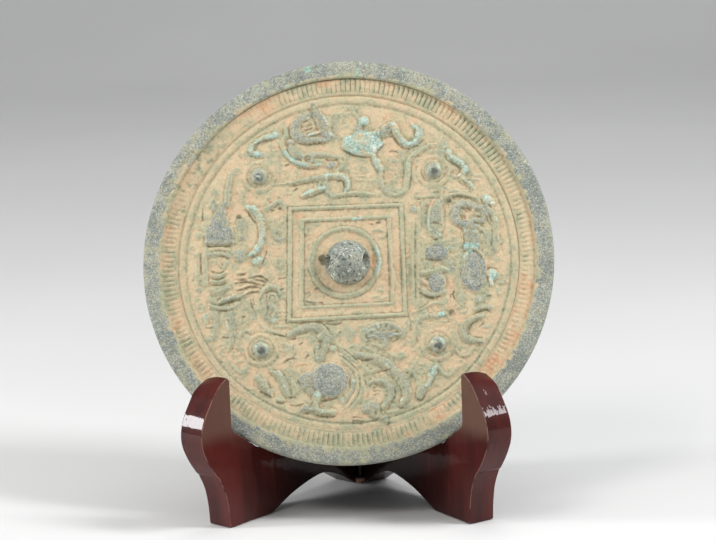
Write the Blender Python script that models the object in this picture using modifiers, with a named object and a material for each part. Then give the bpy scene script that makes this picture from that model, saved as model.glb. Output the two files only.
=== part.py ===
"""Cast bronze mirror with figures in relief, resting in a folding wooden stand.

Metres, +Z up. The decorated side of the mirror faces -Y. The origin is on the
ground at the centre of the whole object's footprint box. Drawing sizes are in
millimetres and become metres through MM.
"""

import math

import bmesh
import bpy
import numpy as np
from mathutils import Matrix, Vector

MM = 0.001
GAP = 0.3                      # clearance kept between touching pieces

# --- mirror ---------------------------------------------------------------
DIAMETER = 180.0
RADIUS = DIAMETER / 2
RIM_THICK = 4.5                # at the edge, from the back to the flat rim
RIM_INNER = 82.5               # radius where the flat rim steps down
COMB_INNER = 76.0              # radius where the band of comb teeth ends
COMB_LEVEL = 3.2
RING_OUTER = 74.8              # round ring moulding inside the comb band
RING_INNER = 71.4
RING_LEVEL = 3.5
FIELD_LEVEL = 2.3              # ground of the relief
CHAMFER = 0.6
CROWN = 1.2                    # bulge of the reflecting face at the centre
LEAN = math.radians(24.3)      # tilt back from upright
DRAWING_TURN = math.radians(1.9)   # the figures' axes against the upright
KNOB_RADIUS = 10.0
BORE_RADIUS = 3.1              # cord hole through the knob
BORE_HEIGHT = 3.9              # its axis, above the field
NIPPLE_CIRCLE = 54.7
NIPPLE_RADIUS = 3.4
SQUARE_HALF = 24.8             # outer line of the square frame
SQUARE_INNER = 20.2
COLLAR_RADIUS = 14.7           # ring round the knob

# --- stand ----------------------------------------------------------------
HINGE_Y = 31.7
MIRROR_Y = HINGE_Y - 20.3      # centre of the mirror's back, at its edge plane
MIRROR_Z = 105.8
OPENING = math.radians(37.0)   # each board's angle to the middle plane
BOARD = 12.5                   # board thickness
BACK_END = -6.5                # rear end of a board, along it from the hinge
LIP_BACK = 82.0                # rear face of the lip
LIP_TOP = 66.0
UPRIGHT_TOP = 121.0
EDGE_ROUND = 0.7
PIN_RADIUS = 1.1
BARREL_RADIUS = 3.2
PIN_FOOT = 0.6
BARREL_TOP = 114.0
EXPOSED_PIN = (3.2, 14.0)      # height where both boards leave the pin bare
KNUCKLES = (14.0, 39.8, 65.0, 90.2)

DISC_SEGMENTS = 300
FIELD_STEP = 1.0               # spacing of the relief's rings before thinning
RELIEF_KEEP = 0.130            # share of the relief's triangles that stays


# --------------------------------------------------------------------------
# relief drawing: every figure is a set of raised strokes and mounds
# --------------------------------------------------------------------------

def smooth_path(points, steps=6):
    """Points of a Catmull-Rom curve through the given ones."""
    p = np.array(points, dtype=float)
    if len(p) == 2:
        return np.linspace(p[0], p[1], steps + 1)
    padded = np.vstack([2 * p[0] - p[1], p, 2 * p[-1] - p[-2]])
    t = np.linspace(0.0, 1.0, steps, endpoint=False)[:, None]
    spans = []
    for a, b, c, d in zip(padded, padded[1:], padded[2:], padded[3:]):
        spans.append(0.5 * (2 * b + (c - a) * t + (2 * a - 5 * b + 4 * c - d) * t**2
                            + (3 * b - a - 3 * c + d) * t**3))
    return np.vstack(spans + [p[-1:]])


def stroke(points, widths, height):
    """A raised line through points; widths and height run along it."""
    line = smooth_path(points)
    along = np.linspace(0.0, 1.0, len(line))
    widths = np.atleast_1d(widths)
    width = np.interp(along, np.linspace(0.0, 1.0, len(widths)), widths)
    return ("stroke", line, width / 2, height)


def mound(x, y, rx, ry, height, turn=0.0):
    """A raised oval."""
    return ("mound", (x, y, rx, ry, math.radians(turn)), None, height)


def ring_arc(x, y, radius, start, end, width, height):
    """A raised arc about a centre, angles in degrees."""
    steps = max(3, int(abs(end - start) / 30) + 1)
    angles = np.radians(np.linspace(start, end, steps))
    points = [(x + radius * math.cos(a), y + radius * math.sin(a)) for a in angles]
    return stroke(points, width, height)


def bars(x, y, step_x, step_y, run_x, run_y, count, width, height):
    """A row of equal short strokes, each run long, a step apart."""
    return [
        stroke([(x + i * step_x, y + i * step_y),
                (x + i * step_x + run_x, y + i * step_y + run_y)], width, height)
        for i in range(count)
    ]


def coiled_dragon():
    return [
        stroke([(-15, 67), (-21, 65), (-24, 60.5), (-21.5, 56.8), (-15.5, 56), (-10, 57.5)],
               [2, 3.6, 4.4, 4.4, 3.6, 2.4], 1.7),
        stroke([(-15.8, 69), (-14.2, 65), (-12.5, 60), (-10.5, 57)], [1.6, 3, 2.2, 2], 1.6),
        stroke([(-19.5, 58.5), (-15, 61.8)], [1.2, 1.6], 1.2),
        stroke([(-5.5, 63), (-5, 58), (-7.5, 54.5)], [1.4, 2, 1], 0.8),
        stroke([(-29.3, 58), (-28.8, 52), (-25, 47.4), (-18.5, 45.6), (-11.5, 45.6), (-7, 47)],
               [1, 2, 4.2, 5.4, 4.4, 2], 1.6),
        mound(-7.6, 43.4, 2.0, 1.5, 1.2),
        stroke([(-4.5, 46.5), (-3, 43.5), (-5.5, 40.8)], [1.2, 1.4, 1], 0.8),
    ]


def winged_figure():
    wing = [(13, 57), (17.5, 60.5), (20, 57.5), (23.5, 53), (28, 51.6), (31, 55), (30, 60.5)]
    robe = [(14, 41), (15, 35.5), (17.5, 30.5), (20.5, 28.8), (23.3, 31), (25, 36.5),
            (26.2, 43), (29, 49), (35.5, 52)]
    return [
        mound(6.4, 63, 2.6, 2.4, 1.7),
        stroke([(2.2, 67.2), (4.2, 65.6)], 1.8, 1.0),
        mound(6, 54.4, 8.8, 5.8, 1.8, -8),
        stroke([(-2.8, 52.6), (4, 50), (8.5, 47.6), (13.5, 52.5)], [1.6, 3.4, 3, 2], 1.6),
        stroke(wing, [4, 5, 3.6, 3.2, 3.6, 3.6, 1.8], 1.8),
        stroke([(9.6, 47.6), (12.2, 44), (14, 40.6)], [1.8, 3, 2.2], 1.8),
        stroke(robe, [1.7, 1.6], 1.2),
    ] + bars(18.3, 48, 0, -2.4, 3.2, 0.6, 7, 1.0, 0.6) + bars(2.6, 44.4, 0, -2.2, 5, 0.4, 4, 1.1, 0.6)


def running_beast():
    return [
        stroke([(-19.6, 28.9), (-15, 31.6), (-10.5, 34)], [2.2, 3, 3.2], 1.7),
        stroke([(-24, 35.4), (-16, 37), (-9, 38.4), (-3.6, 38.6), (-0.8, 35.6), (-2, 32)],
               [0.8, 1.8, 3.4, 2.8, 2.2, 1.2], 1.4),
        stroke([(-9.6, 33.5), (-8.5, 30), (-4.6, 28.6), (1, 30.2), (7, 30.6), (12.5, 29.8)],
               [3, 2.2, 1.8, 1.5, 1.4, 1], 1.2),
        stroke([(-31, 33.4), (-27.5, 32), (-24.5, 35)], [1, 1.5, 1], 0.8),
    ]


def corner_clouds():
    return [
        stroke([(-32.6, 57.6), (-38, 56), (-42.6, 52.8), (-43.4, 49.6), (-41.2, 48)],
               [1.2, 2, 2.2, 2.4, 2.6], 1.5),
        stroke([(44, 49), (46.5, 46), (50, 44), (51.2, 40.5), (49, 37), (54, 32.6)],
               [2.4, 3, 2.6, 2.8, 2.2, 2.6], 1.6),
        stroke([(46, 29.4), (52, 29.4)], 1.0, 0.7),
        stroke([(47, -41.6), (50, -43), (53.4, -41.4)], 1.8, 0.9),
        stroke([(39, -45.5), (41.6, -50), (45, -50.4), (47.6, -47)], [1, 1.8, 1.8, 1], 0.9),
        stroke([(-46, -36.5), (-49, -32.5), (-46, -29.6), (-42.6, -31)], [1, 1.5, 1.5, 1], 0.9),
        stroke([(-50, -46), (-46.5, -49), (-43, -46.5)], 1.3, 0.7),
    ]


def long_necked_bird():
    return [
        stroke([(-52.6, 40), (-53.6, 34), (-54.4, 28), (-56, 22)], [1, 1.4, 1.6, 3], 1.3),
        mound(-57.3, 13.4, 6.4, 8.2, 1.9, 5),
        stroke([(-64, 7.2), (-51.5, 7.4)], [1.4, 2.2], 1.2),
        stroke([(-62, 5.4), (-62, -9)], [1.6, 1.8], 1.0),
        stroke([(-66.2, 4), (-66.4, -8)], 1.0, 0.6),
        mound(-48, 2.8, 2.6, 3.4, 1.2, 20),
        stroke([(-56.4, 1), (-53.8, -3), (-55.4, -8)], [1.2, 1.4, 1], 0.8),
    ] + bars(-60.4, 3.4, 0, -2.5, 4.4, 0.2, 5, 1.1, 0.7)


def crescent_wing():
    return [
        stroke([(-44.4, 24.6), (-40.4, 20.6), (-38, 15), (-38.4, 9), (-41, 5.6), (-43.4, 4.4)],
               [1.6, 3, 3.4, 3, 2.6, 1.4], 1.7),
        stroke([(-48.6, 20.4), (-46.6, 16), (-47, 10.6)], [1.8, 3.4, 2.4], 1.2),
        stroke([(-36.6, 0.6), (-39, -1.4), (-42, -1)], [2, 2.4, 1.2], 1.2),
        stroke([(-36, 24), (-32, 26.4), (-28.4, 24.6)], [1.2, 2, 1.4], 0.9),
    ]


def feathered_tail():
    feathers = [
        stroke([(-54 + 2 * i, -5.5 - 2.1 * i), (-47 + 2.4 * i, -5.2 - 1.7 * i),
                (-40.5 + 2.2 * i, -6.6 - 1.9 * i)], [0.8, 1.5, 0.8], 0.8)
        for i in range(4)
    ]
    return feathers + [
        stroke([(-61, -11), (-55, -12.8), (-49, -11), (-45, -9)], [1, 1.8, 1.4, 0.8], 0.9),
        stroke([(-62.5, -15), (-56, -17.4), (-50, -16.6), (-44, -13.8)], [1, 2.6, 2.4, 1], 1.3),
        stroke([(-63, -19), (-55, -21), (-47.5, -18.6)], [0.8, 1.8, 1], 0.9),
        stroke([(-57.6, -22), (-57, -28), (-59, -33.5)], [1.4, 1.8, 1], 0.8),
        stroke([(-53, -22), (-50.8, -27.5), (-50.6, -34)], [1.2, 1.9, 1], 0.9),
        stroke([(-43.6, -15.5), (-42.4, -19.5), (-40, -24)], [1, 1.6, 1], 0.9),
        stroke([(-47.5, -20), (-46, -24), (-48, -28)], [1, 1.4, 1], 0.7),
    ]


def hooded_imp():
    return [
        stroke([(-37.4, -13), (-34, -10.4), (-30, -11.2), (-28.4, -14)], [1.4, 2, 2, 1.2], 1.1),
        stroke([(-37.2, -14), (-37.4, -18.6), (-34.6, -21.8), (-32.4, -27)], [1.4, 2.2, 2.4, 2], 1.2),
        mound(-33, -15.4, 1.8, 1.8, 1.1),
        stroke([(-33, -19), (-30.4, -18)], 1.4, 0.9),
    ] + bars(-31.4, -21, 0.1, -2.1, 3.6, 0.2, 4, 1.0, 0.6)


def hook_column():
    hooks = [ring_arc(-31, 20.5 - 4.2 * i, 1.4, 200, -20, 1.1, 0.8) for i in range(3)]
    return hooks + bars(-32.4, 6.4, 0, -2.3, 4, 0.2, 5, 1.0, 0.6)


def crouching_bear():
    ribs = [ring_arc(-9.5, -54, 11.6 + 2.1 * i, 32 - 4 * i, -56 + 3 * i, [0.9, 1.4, 0.9], 0.9)
            for i in range(3)]
    return ribs + [
        mound(-8.2, -53.6, 9.4, 8.6, 2.0, -15),
        stroke([(-15, -56.5), (-18.5, -53), (-17.5, -49)], [3, 3.4, 2], 1.2),
        stroke([(-13.5, -59.5), (-13, -63.5), (-11, -66.4), (-6.6, -67.4)], [4, 2.8, 3, 2.8], 1.7),
        stroke([(-19.4, -65.4), (-15.6, -66.8)], [1.6, 2.2], 1.1),
        stroke([(-31.6, -48.8), (-28.8, -52), (-27.2, -57), (-25, -60), (-22, -57.4)],
               [1.8, 2.8, 3, 2.6, 1.2], 1.4),
        stroke([(-39, -50.6), (-35.4, -54), (-33.4, -59.6)], [2, 3.2, 2], 1.4),
        stroke([(-30.6, -62), (-27, -62.4)], 1.2, 0.7),
        stroke([(-25.4, -63.2), (-18.6, -62.4)], 1.1, 0.7),
        stroke([(-24.5, -34.6), (-21, -30.6), (-15.4, -29.4), (-11.2, -32.4), (-10.6, -37.4),
                (-12.8, -43.4)], [1.4, 3, 4.4, 4.6, 3.8, 2], 1.5),
    ] + bars(-28.6, -36.4, 1.5, -0.1, 0.1, -3.6, 4, 0.9, 0.6)


def mane_and_serpent():
    return [
        stroke([(-9.4, -27.4), (-3, -28)], 1.2, 0.7),
        stroke([(-6, -30.4), (-2.6, -32), (1.4, -35)], [1, 1.6, 1], 0.8),
        stroke([(-8.4, -36.6), (-4.4, -41), (0.4, -45), (5.6, -47.4)], [2, 1.8, 1.7, 1], 1.0),
        stroke([(-6, -34.6), (-1, -39), (4, -41.8), (8, -43.6)], [1.8, 1.7, 1.7, 1], 1.0),
        mound(14.2, -33, 7.6, 4.4, 1.5, -8),
        stroke([(6.8, -31), (8.2, -34.6), (12, -37.6)], [1.4, 2.2, 1.6], 1.3),
        stroke([(20.4, -30.6), (22.6, -33.6), (21.4, -37.4)], [1.4, 2, 1.2], 1.2),
        stroke([(15, -38.6), (20, -40.8), (26, -41.4)], [1.2, 1.6, 1], 0.9),
        stroke([(5.5, -43), (11, -43.8), (16.6, -45.6), (22, -49.8), (25.6, -55), (26, -60.4),
                (22.4, -65)], [2, 3.8, 4.2, 4, 4.2, 3.6, 2], 1.7),
        stroke([(9.6, -54.4), (13.6, -52.2), (18.2, -54), (19.4, -58.6), (16.8, -62.8),
                (12.6, -65.4), (11.4, -69.6)], [1.4, 2.4, 3.4, 3.6, 3.6, 4, 3], 1.7),
        stroke([(12, -70), (17.4, -71)], [3, 1.8], 1.1),
        stroke([(38, -46.4), (36.8, -50.4), (34, -55.4), (31.4, -60.4)], [2, 3.4, 4.4, 3], 1.6),
        stroke([(28.6, -50.4), (31, -53), (32.4, -56)], [1.2, 2, 2.4], 1.0),
    ] + bars(11.4, -56, 0.5, -1.7, 3.4, 0.5, 3, 0.9, 0.7)


def mounted_figure():
    return [
        stroke([(38.6, 11), (36.6, 15), (36.8, 21), (38.6, 26), (44, 29.4), (51, 29.6),
                (58, 27.6), (63.6, 22)], [3.4, 4.4, 4.2, 3, 1.6, 1.2, 1.4, 1.6], 1.2),
        ring_arc(51.4, 20.6, 4.2, 20, 250, [3, 3.6, 3.2], 1.5),
        ring_arc(57.6, 21, 3.2, 150, -80, [2.2, 3], 1.3),
        mound(61.8, 26.8, 2.2, 1.8, 1.4, -30),
        stroke([(51.6, 17), (52.6, 12), (55.6, 7.4)], [4.4, 6, 4.4], 1.5),
        stroke([(64, 19.4), (64.8, 12.6), (63, 7)], [2, 3, 1.6], 1.1),
        stroke([(57.4, 16.4), (60, 12.6), (58.6, 8.4)], [2, 2.6, 1.8], 1.1),
        mound(54.8, -6, 5.4, 8.6, 1.8),
        stroke([(50, 3.8), (54.6, 4.4), (59.2, 0.6)], [1.4, 2, 1.2], 1.0),
        mound(62.8, -7, 1.9, 3.4, 1.5, 10),
        mound(38.4, 4, 5.0, 3.5, 1.7, 6),
        mound(38.8, -9.4, 4.8, 6.4, 1.5, 15),
        mound(32.8, -7.2, 2.2, 1.8, 1.0),
        mound(43.6, -3, 2.4, 1.8, 1.1, 40),
        stroke([(49.6, -13.4), (50.4, -17.4), (48, -21)], [1.4, 2, 1.2], 0.9),
        stroke([(30.6, -14), (35.4, -16.4), (40.4, -14.6)], [1, 1.8, 1], 0.9),
    ] + bars(61.4, 2.6, 1.3, -1.0, 0.8, 2.6, 4, 0.9, 0.6) + bars(44.6, 11, 0.1, -2.9, 1.6, 0.5, 5, 1.2, 0.6)


def serpent_and_line():
    return [
        stroke([(61, -20.6), (55.4, -24.8), (50.6, -28.8), (49.8, -33), (52.6, -36.2), (58.8, -35.6)],
               [1.4, 3, 3, 2.8, 3.4, 1.6], 1.5),
        mound(56.6, -17.4, 2.4, 2.0, 1.2),
        stroke([(60.6, -17), (62.4, -21)], [1, 1.6], 0.8),
        stroke([(28, -23), (33, -20.6), (40, -18.8)], [1.2, 1.4, 0.8], 0.8),
        stroke([(31, -29), (33, -26), (37, -25.4), (41.4, -24)], [1, 1.6, 1.8, 2.4], 1.0),
        mound(45, -22.8, 1.8, 1.5, 1.0),
        stroke([(27, -24), (29.8, -29), (29.8, -34), (27.6, -39)], [1.2, 1.7, 1.7, 1], 0.9),
        stroke([(27.4, 20), (27, -20)], 1.1, 0.7),
        stroke([(30.8, 19), (30.6, -20)], 0.9, 0.6),
        stroke([(28, 24.6), (31.4, 26.4), (34.6, 24)], [1, 1.6, 1], 0.8),
    ]


def corner_ornaments():
    return [
        ring_arc(-16.6, -15.6, 1.9, 0, 330, 1.0, 0.7),
        ring_arc(13.6, 12.4, 1.9, 140, -80, 1.0, 0.7),
        stroke([(9.8, 16.4), (13.8, 17.4)], 1.0, 0.7),
        ring_arc(-16.4, 14.4, 1.9, 200, -30, 1.0, 0.7),
        stroke([(11, -15.6), (15.4, -16.2)], [0.8, 1.6], 0.7),
        stroke([(13.4, -12), (16.6, -14.4)], [0.8, 1.4], 0.7),
    ]


def square_frame(half, width, height):
    """Four raised lines of the square round the knob."""
    c, s = half * math.cos(DRAWING_TURN), half * math.sin(DRAWING_TURN)
    corners = [(c * a - s * b, s * a + c * b) for a, b in ((-1, -1), (1, -1), (1, 1), (-1, 1))]
    return [stroke([p, q], width, height) for p, q in zip(corners, corners[1:] + corners[:1])]


def nipples():
    """Four domed studs, each in a low ring."""
    found = []
    for quarter in range(4):
        angle = math.radians(45 + 90 * quarter) + DRAWING_TURN
        x, y = NIPPLE_CIRCLE * math.cos(angle), NIPPLE_CIRCLE * math.sin(angle)
        found.append(mound(x, y, NIPPLE_RADIUS, NIPPLE_RADIUS, 3.0))
        found.append(ring_arc(x, y, 5.8, 0, 360, 1.5, 0.8))
    return found


def field_relief():
    """Everything raised inside the ring moulding."""
    figures = (coiled_dragon, winged_figure, running_beast, corner_clouds, long_necked_bird,
               crescent_wing, feathered_tail, hooded_imp, hook_column, crouching_bear,
               mane_and_serpent, mounted_figure, serpent_and_line, corner_ornaments, nipples)
    shapes = [shape for figure in figures for shape in figure()]
    shapes += square_frame(SQUARE_HALF, 1.2, 0.9)
    shapes += square_frame(SQUARE_INNER, 1.2, 0.8)
    shapes.append(ring_arc(0, 0, COLLAR_RADIUS, 0, 360, 1.8, 0.9))
    return shapes


def stroke_rise(x, y, line, half, height):
    """Rise of one stroke over the points x, y."""
    best = np.zeros_like(x)
    for (ax, ay), (bx, by), wa, wb in zip(line, line[1:], half, half[1:]):
        dx, dy = bx - ax, by - ay
        t = np.clip(((x - ax) * dx + (y - ay) * dy) / (dx * dx + dy * dy + 1e-9), 0.0, 1.0)
        reach = wa + (wb - wa) * t
        apart = np.hypot(x - ax - t * dx, y - ay - t * dy) / reach
        best = np.maximum(best, height * np.clip(1.0 - apart**2, 0.0, 1.0) ** 0.6)
    return best


def mound_rise(x, y, place, height):
    """Rise of one oval over the points x, y."""
    cx, cy, rx, ry, turn = place
    a = (x - cx) * math.cos(turn) + (y - cy) * math.sin(turn)
    b = (y - cy) * math.cos(turn) - (x - cx) * math.sin(turn)
    return height * np.clip(1.0 - (a / rx) ** 2 - (b / ry) ** 2, 0.0, 1.0) ** 0.55


def relief_height(x, y):
    """Height of the decorated side, in mm above the mirror's back plane."""
    c, s = math.cos(DRAWING_TURN), math.sin(DRAWING_TURN)
    x, y = c * x - s * y, s * x + c * y
    r = np.hypot(x, y)
    height = np.full_like(x, FIELD_LEVEL)
    for kind, place, half, rise in field_relief():
        if kind == "stroke":
            reach = half.max()
            low, high = place.min(axis=0) - reach, place.max(axis=0) + reach
        else:
            reach = max(place[2], place[3])
            low, high = np.array(place[:2]) - reach, np.array(place[:2]) + reach
        near = (x > low[0]) & (x < high[0]) & (y > low[1]) & (y < high[1])
        if kind == "stroke":
            lift = stroke_rise(x[near], y[near], place, half, rise)
        else:
            lift = mound_rise(x[near], y[near], place, rise)
        height[near] = np.maximum(height[near], FIELD_LEVEL + lift)
    middle, half_width = (RING_OUTER + RING_INNER) / 2, (RING_OUTER - RING_INNER) / 2
    ring = FIELD_LEVEL + (RING_LEVEL - FIELD_LEVEL) * np.clip(
        1.0 - ((r - middle) / half_width) ** 2, 0.0, 1.0) ** 0.5
    height = np.where(np.abs(r - middle) < half_width, np.maximum(height, ring), height)
    height = np.where(r >= COMB_INNER - 0.4, COMB_LEVEL, height)
    return np.where(r >= RIM_INNER, RIM_THICK, height)


# --------------------------------------------------------------------------
# Blender helpers
# --------------------------------------------------------------------------

def clear_scene():
    for thing in list(bpy.data.objects):
        bpy.data.objects.remove(thing, do_unlink=True)


def new_collection(name):
    collection = bpy.data.collections.new(name)
    bpy.context.scene.collection.children.link(collection)
    return collection


def plain_material(name, colour, roughness, metallic):
    material = bpy.data.materials.new(name)
    material.use_nodes = True
    shader = material.node_tree.nodes["Principled BSDF"]
    shader.inputs["Base Color"].default_value = (*colour, 1.0)
    shader.inputs["Roughness"].default_value = roughness
    shader.inputs["Metallic"].default_value = metallic
    return material


def add_object(name, mesh, collection, material=None):
    thing = bpy.data.objects.new(name, mesh)
    collection.objects.link(thing)
    if material:
        mesh.materials.append(material)
    return thing


def mesh_from_bmesh(name, bm):
    mesh = bpy.data.meshes.new(name)
    bmesh.ops.recalc_face_normals(bm, faces=bm.faces)
    bm.to_mesh(mesh)
    bm.free()
    return mesh


def make_cutter(thing):
    thing.hide_render = True
    thing.display_type = "WIRE"


def add_boolean(thing, other, operation):
    modifier = thing.modifiers.new(f"{operation.lower()}_{other.name}", "BOOLEAN")
    modifier.operation = operation
    modifier.solver = "EXACT"
    modifier.object = other


def upright_cylinders(name, radius, spans, sides, collection):
    """One mesh of coaxial cylinders about the Z axis, one for each height span."""
    bm = bmesh.new()
    for low, high in spans:
        placed = Matrix.Translation((0, 0, (low + high) / 2 * MM))
        bmesh.ops.create_cone(bm, cap_ends=True, segments=sides, radius1=radius * MM,
                              radius2=radius * MM, depth=(high - low) * MM, matrix=placed)
    cutter = add_object(name, mesh_from_bmesh(name, bm), collection)
    make_cutter(cutter)
    return cutter


# --------------------------------------------------------------------------
# mirror
# --------------------------------------------------------------------------

def disc_rings():
    """Radii of the decorated side's rings, centre outwards, with the steps doubled."""
    field = list(np.arange(FIELD_STEP, RING_INNER, FIELD_STEP))
    ring = list(np.linspace(RING_INNER, RING_OUTER, 7))
    steps = [COMB_INNER - 0.6, COMB_INNER - 0.2, RIM_INNER - 0.5, RIM_INNER + 0.1]
    return field + ring + steps + [RADIUS - CHAMFER]


def mirror_mesh():
    """Closed disc: relief in front, bevelled edge, gently bulging back."""
    angles = np.linspace(0.0, 2 * math.pi, DISC_SEGMENTS, endpoint=False)
    rows = []
    for radius in disc_rings():
        x, y = radius * np.cos(angles), radius * np.sin(angles)
        rows.append((x, y, relief_height(x, y)))
    back_radii = [RADIUS] + list(np.linspace(RADIUS, 0.0, 7)[1:-1])
    for radius, level in [(RADIUS, RIM_THICK - CHAMFER)] + [
            (r, -CROWN * (1 - (r / RADIUS) ** 2)) for r in back_radii]:
        rows.append((radius * np.cos(angles), radius * np.sin(angles), np.full_like(angles, level)))
    points = np.concatenate([np.stack(row, axis=1) for row in rows]) * MM
    front = len(points)
    centre = relief_height(np.zeros(1), np.zeros(1))[0]
    points = np.vstack([points, [(0, 0, centre * MM), (0, 0, -CROWN * MM)]])
    faces = []
    n = DISC_SEGMENTS
    for k in range(n):
        nxt = (k + 1) % n
        faces.append((front, k, nxt))
        last = (len(rows) - 1) * n
        faces.append((front + 1, last + nxt, last + k))
        for row in range(len(rows) - 1):
            a, b = row * n, (row + 1) * n
            faces.append((a + k, b + k, b + nxt, a + nxt))
    mesh = bpy.data.meshes.new("mirror")
    mesh.from_pydata(points.tolist(), [], faces)
    mesh.validate()
    return mesh


def knob_cutters(collection, placed):
    """Dome of the knob, and the cord hole that runs across it."""
    bm = bmesh.new()
    bmesh.ops.create_uvsphere(bm, u_segments=24, v_segments=14, radius=KNOB_RADIUS * MM,
                              matrix=Matrix.Translation((0, 0, FIELD_LEVEL * MM)))
    buried = Vector((0, 0, (FIELD_LEVEL - 1.5) * MM))
    bmesh.ops.bisect_plane(bm, geom=bm.verts[:] + bm.edges[:] + bm.faces[:], dist=1e-7,
                           plane_co=buried, plane_no=(0, 0, -1), clear_outer=True)
    open_edges = [edge for edge in bm.edges if edge.is_boundary]
    bmesh.ops.edgeloop_fill(bm, edges=open_edges)
    dome = add_object("knob_dome", mesh_from_bmesh("knob_dome", bm), collection)
    bm = bmesh.new()
    across = Matrix.Translation((0, 0, (FIELD_LEVEL + BORE_HEIGHT) * MM))
    across = across @ Matrix.Rotation(math.radians(90), 4, "Y")
    bmesh.ops.create_cone(bm, cap_ends=True, segments=20, radius1=BORE_RADIUS * MM,
                          radius2=BORE_RADIUS * MM, depth=2.6 * KNOB_RADIUS * MM, matrix=across)
    hole = add_object("cord_hole", mesh_from_bmesh("cord_hole", bm), collection)
    for thing in (dome, hole):
        make_cutter(thing)
        thing.matrix_world = placed
    return dome, hole


def make_mirror(parts, cutters, bronze):
    placed = Matrix.Translation((0, MIRROR_Y * MM, MIRROR_Z * MM))
    placed = placed @ Matrix.Rotation(math.radians(90) - LEAN, 4, "X")
    mirror = add_object("mirror", mirror_mesh(), parts, bronze)
    mirror.matrix_world = placed
    thin = mirror.modifiers.new("thin_out", "DECIMATE")
    thin.ratio = RELIEF_KEEP
    dome, hole = knob_cutters(cutters, placed)
    add_boolean(mirror, dome, "UNION")
    add_boolean(mirror, hole, "DIFFERENCE")
    return mirror


# --------------------------------------------------------------------------
# stand
# --------------------------------------------------------------------------

def upright_front(z):
    """Front edge of the upright, parallel to the leaning mirror's back."""
    from_hinge = HINGE_Y - MIRROR_Y + (MIRROR_Z - z) * math.tan(LEAN)
    clear = (CROWN + GAP) / math.cos(LEAN)
    return (from_hinge - clear) / math.cos(OPENING)


def rim_on_inner_face(level):
    """Where the mirror's edge, at a level above its back, crosses a board's inner face."""
    forward = LIP_BACK
    for _ in range(40):
        down = math.sqrt(RADIUS**2 - (forward * math.sin(OPENING)) ** 2)
        behind = MIRROR_Y - down * math.sin(LEAN) - level * math.cos(LEAN)
        forward = (HINGE_Y - behind) / math.cos(OPENING)
    return np.array([forward, MIRROR_Z - down * math.cos(LEAN) + level * math.sin(LEAN)])


def seat_ends():
    """Low and high end of the sloping seat, just under the mirror's edge."""
    back, front = rim_on_inner_face(0.0), rim_on_inner_face(RIM_THICK)
    along = (front - back) / np.linalg.norm(front - back)
    start = back + GAP * np.array([along[1], -along[0]])
    low = start.copy()
    while low[0] > upright_front(low[1]):
        low -= 0.05 * along
    return low, start + along * (LIP_BACK - 2.6 - start[0]) / along[0]


def board_outline():
    """Side view of a board: distance forward from the hinge, and height."""
    arch = smooth_path([(3.5, 0), (8, 2.8), (14, 6.4), (22.5, 9.6), (31, 9.3), (44.5, 6),
                        (55, 1.6), (59, 0)], 3)
    front = smooth_path([(85.6, 0), (86.2, 8), (87.8, 16), (91.2, 23.4)], 3)
    bulge = smooth_path([(92.6, 24.6), (97, 31), (100.3, 38), (100.7, 44.4), (98.4, 51),
                         (93.6, 58)], 4)
    nose = smooth_path([(92.2, 59.6), (88.4, 63.8), (LIP_BACK + 1.6, LIP_TOP + 0.4)], 3)
    seat_low, seat_high = seat_ends()
    seat = smooth_path([(LIP_BACK, 45), (LIP_BACK - 0.6, 42.8), seat_high], 2)
    top = UPRIGHT_TOP
    head = smooth_path([(upright_front(top - 7), top - 7), (upright_front(top) - 1.2, top - 1.6),
                        (upright_front(top) - 5, top)], 3)
    back = [(BACK_END + 5, top), (BACK_END + 1, top - 2.4), (BACK_END, top - 7), (BACK_END, 0)]
    return np.vstack([arch, front, bulge, nose, [(LIP_BACK, LIP_TOP - 1.2)], seat, [seat_low],
                      head, back])


def board_mesh(name, side, collection):
    """Board as a thick flat outline, taken back to the middle plane behind the hinge."""
    curve = bpy.data.curves.new(name, "CURVE")
    curve.dimensions = "2D"
    curve.fill_mode = "BOTH"
    curve.extrude = BOARD / 2 * MM
    outline = board_outline()
    spline = curve.splines.new("POLY")
    spline.points.add(len(outline) - 1)
    for point, (forward, up) in zip(spline.points, outline):
        point.co = (forward * MM, up * MM, 0, 1)
    spline.use_cyclic_u = True
    source = bpy.data.objects.new(name, curve)
    collection.objects.link(source)
    depsgraph = bpy.context.evaluated_depsgraph_get()
    mesh = bpy.data.meshes.new_from_object(source.evaluated_get(depsgraph))
    bpy.data.objects.remove(source, do_unlink=True)
    bm = bmesh.new()
    bm.from_mesh(mesh)
    bmesh.ops.remove_doubles(bm, verts=bm.verts, dist=1e-6)
    bmesh.ops.dissolve_limit(bm, angle_limit=0.003, verts=bm.verts, edges=bm.edges)
    inward = Vector((-math.sin(OPENING), 0, side * math.cos(OPENING)))
    middle = inward * (BOARD / 2 * math.cos(OPENING) - GAP / 2) * MM
    bmesh.ops.bisect_plane(bm, geom=bm.verts[:] + bm.edges[:] + bm.faces[:], dist=1e-7,
                           plane_co=middle, plane_no=inward, clear_outer=True)
    bmesh.ops.edgeloop_fill(bm, edges=[edge for edge in bm.edges if edge.is_boundary])
    bmesh.ops.recalc_face_normals(bm, faces=bm.faces)
    bm.to_mesh(mesh)
    bm.free()
    mesh.name = name
    return mesh


def bare_spans(side):
    """Height spans where a board has no hinge barrel of its own, joined where they touch."""
    edges = (0.0, EXPOSED_PIN[0], *KNUCKLES, BARREL_TOP)
    spans = list(zip(edges, edges[1:]))
    exposed = spans.pop(1)
    other = [span for k, span in enumerate(spans) if (k % 2 == 0) != (side < 0)]
    joined = []
    for low, high in sorted(other + [exposed, (BARREL_TOP, UPRIGHT_TOP + 4)]):
        low, high = low - GAP / 2, high + GAP / 2
        if joined and low < joined[-1][1]:
            joined[-1] = (joined[-1][0], high)
        else:
            joined.append((low - 3 if low < 0 else low, high))
    return joined


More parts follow.
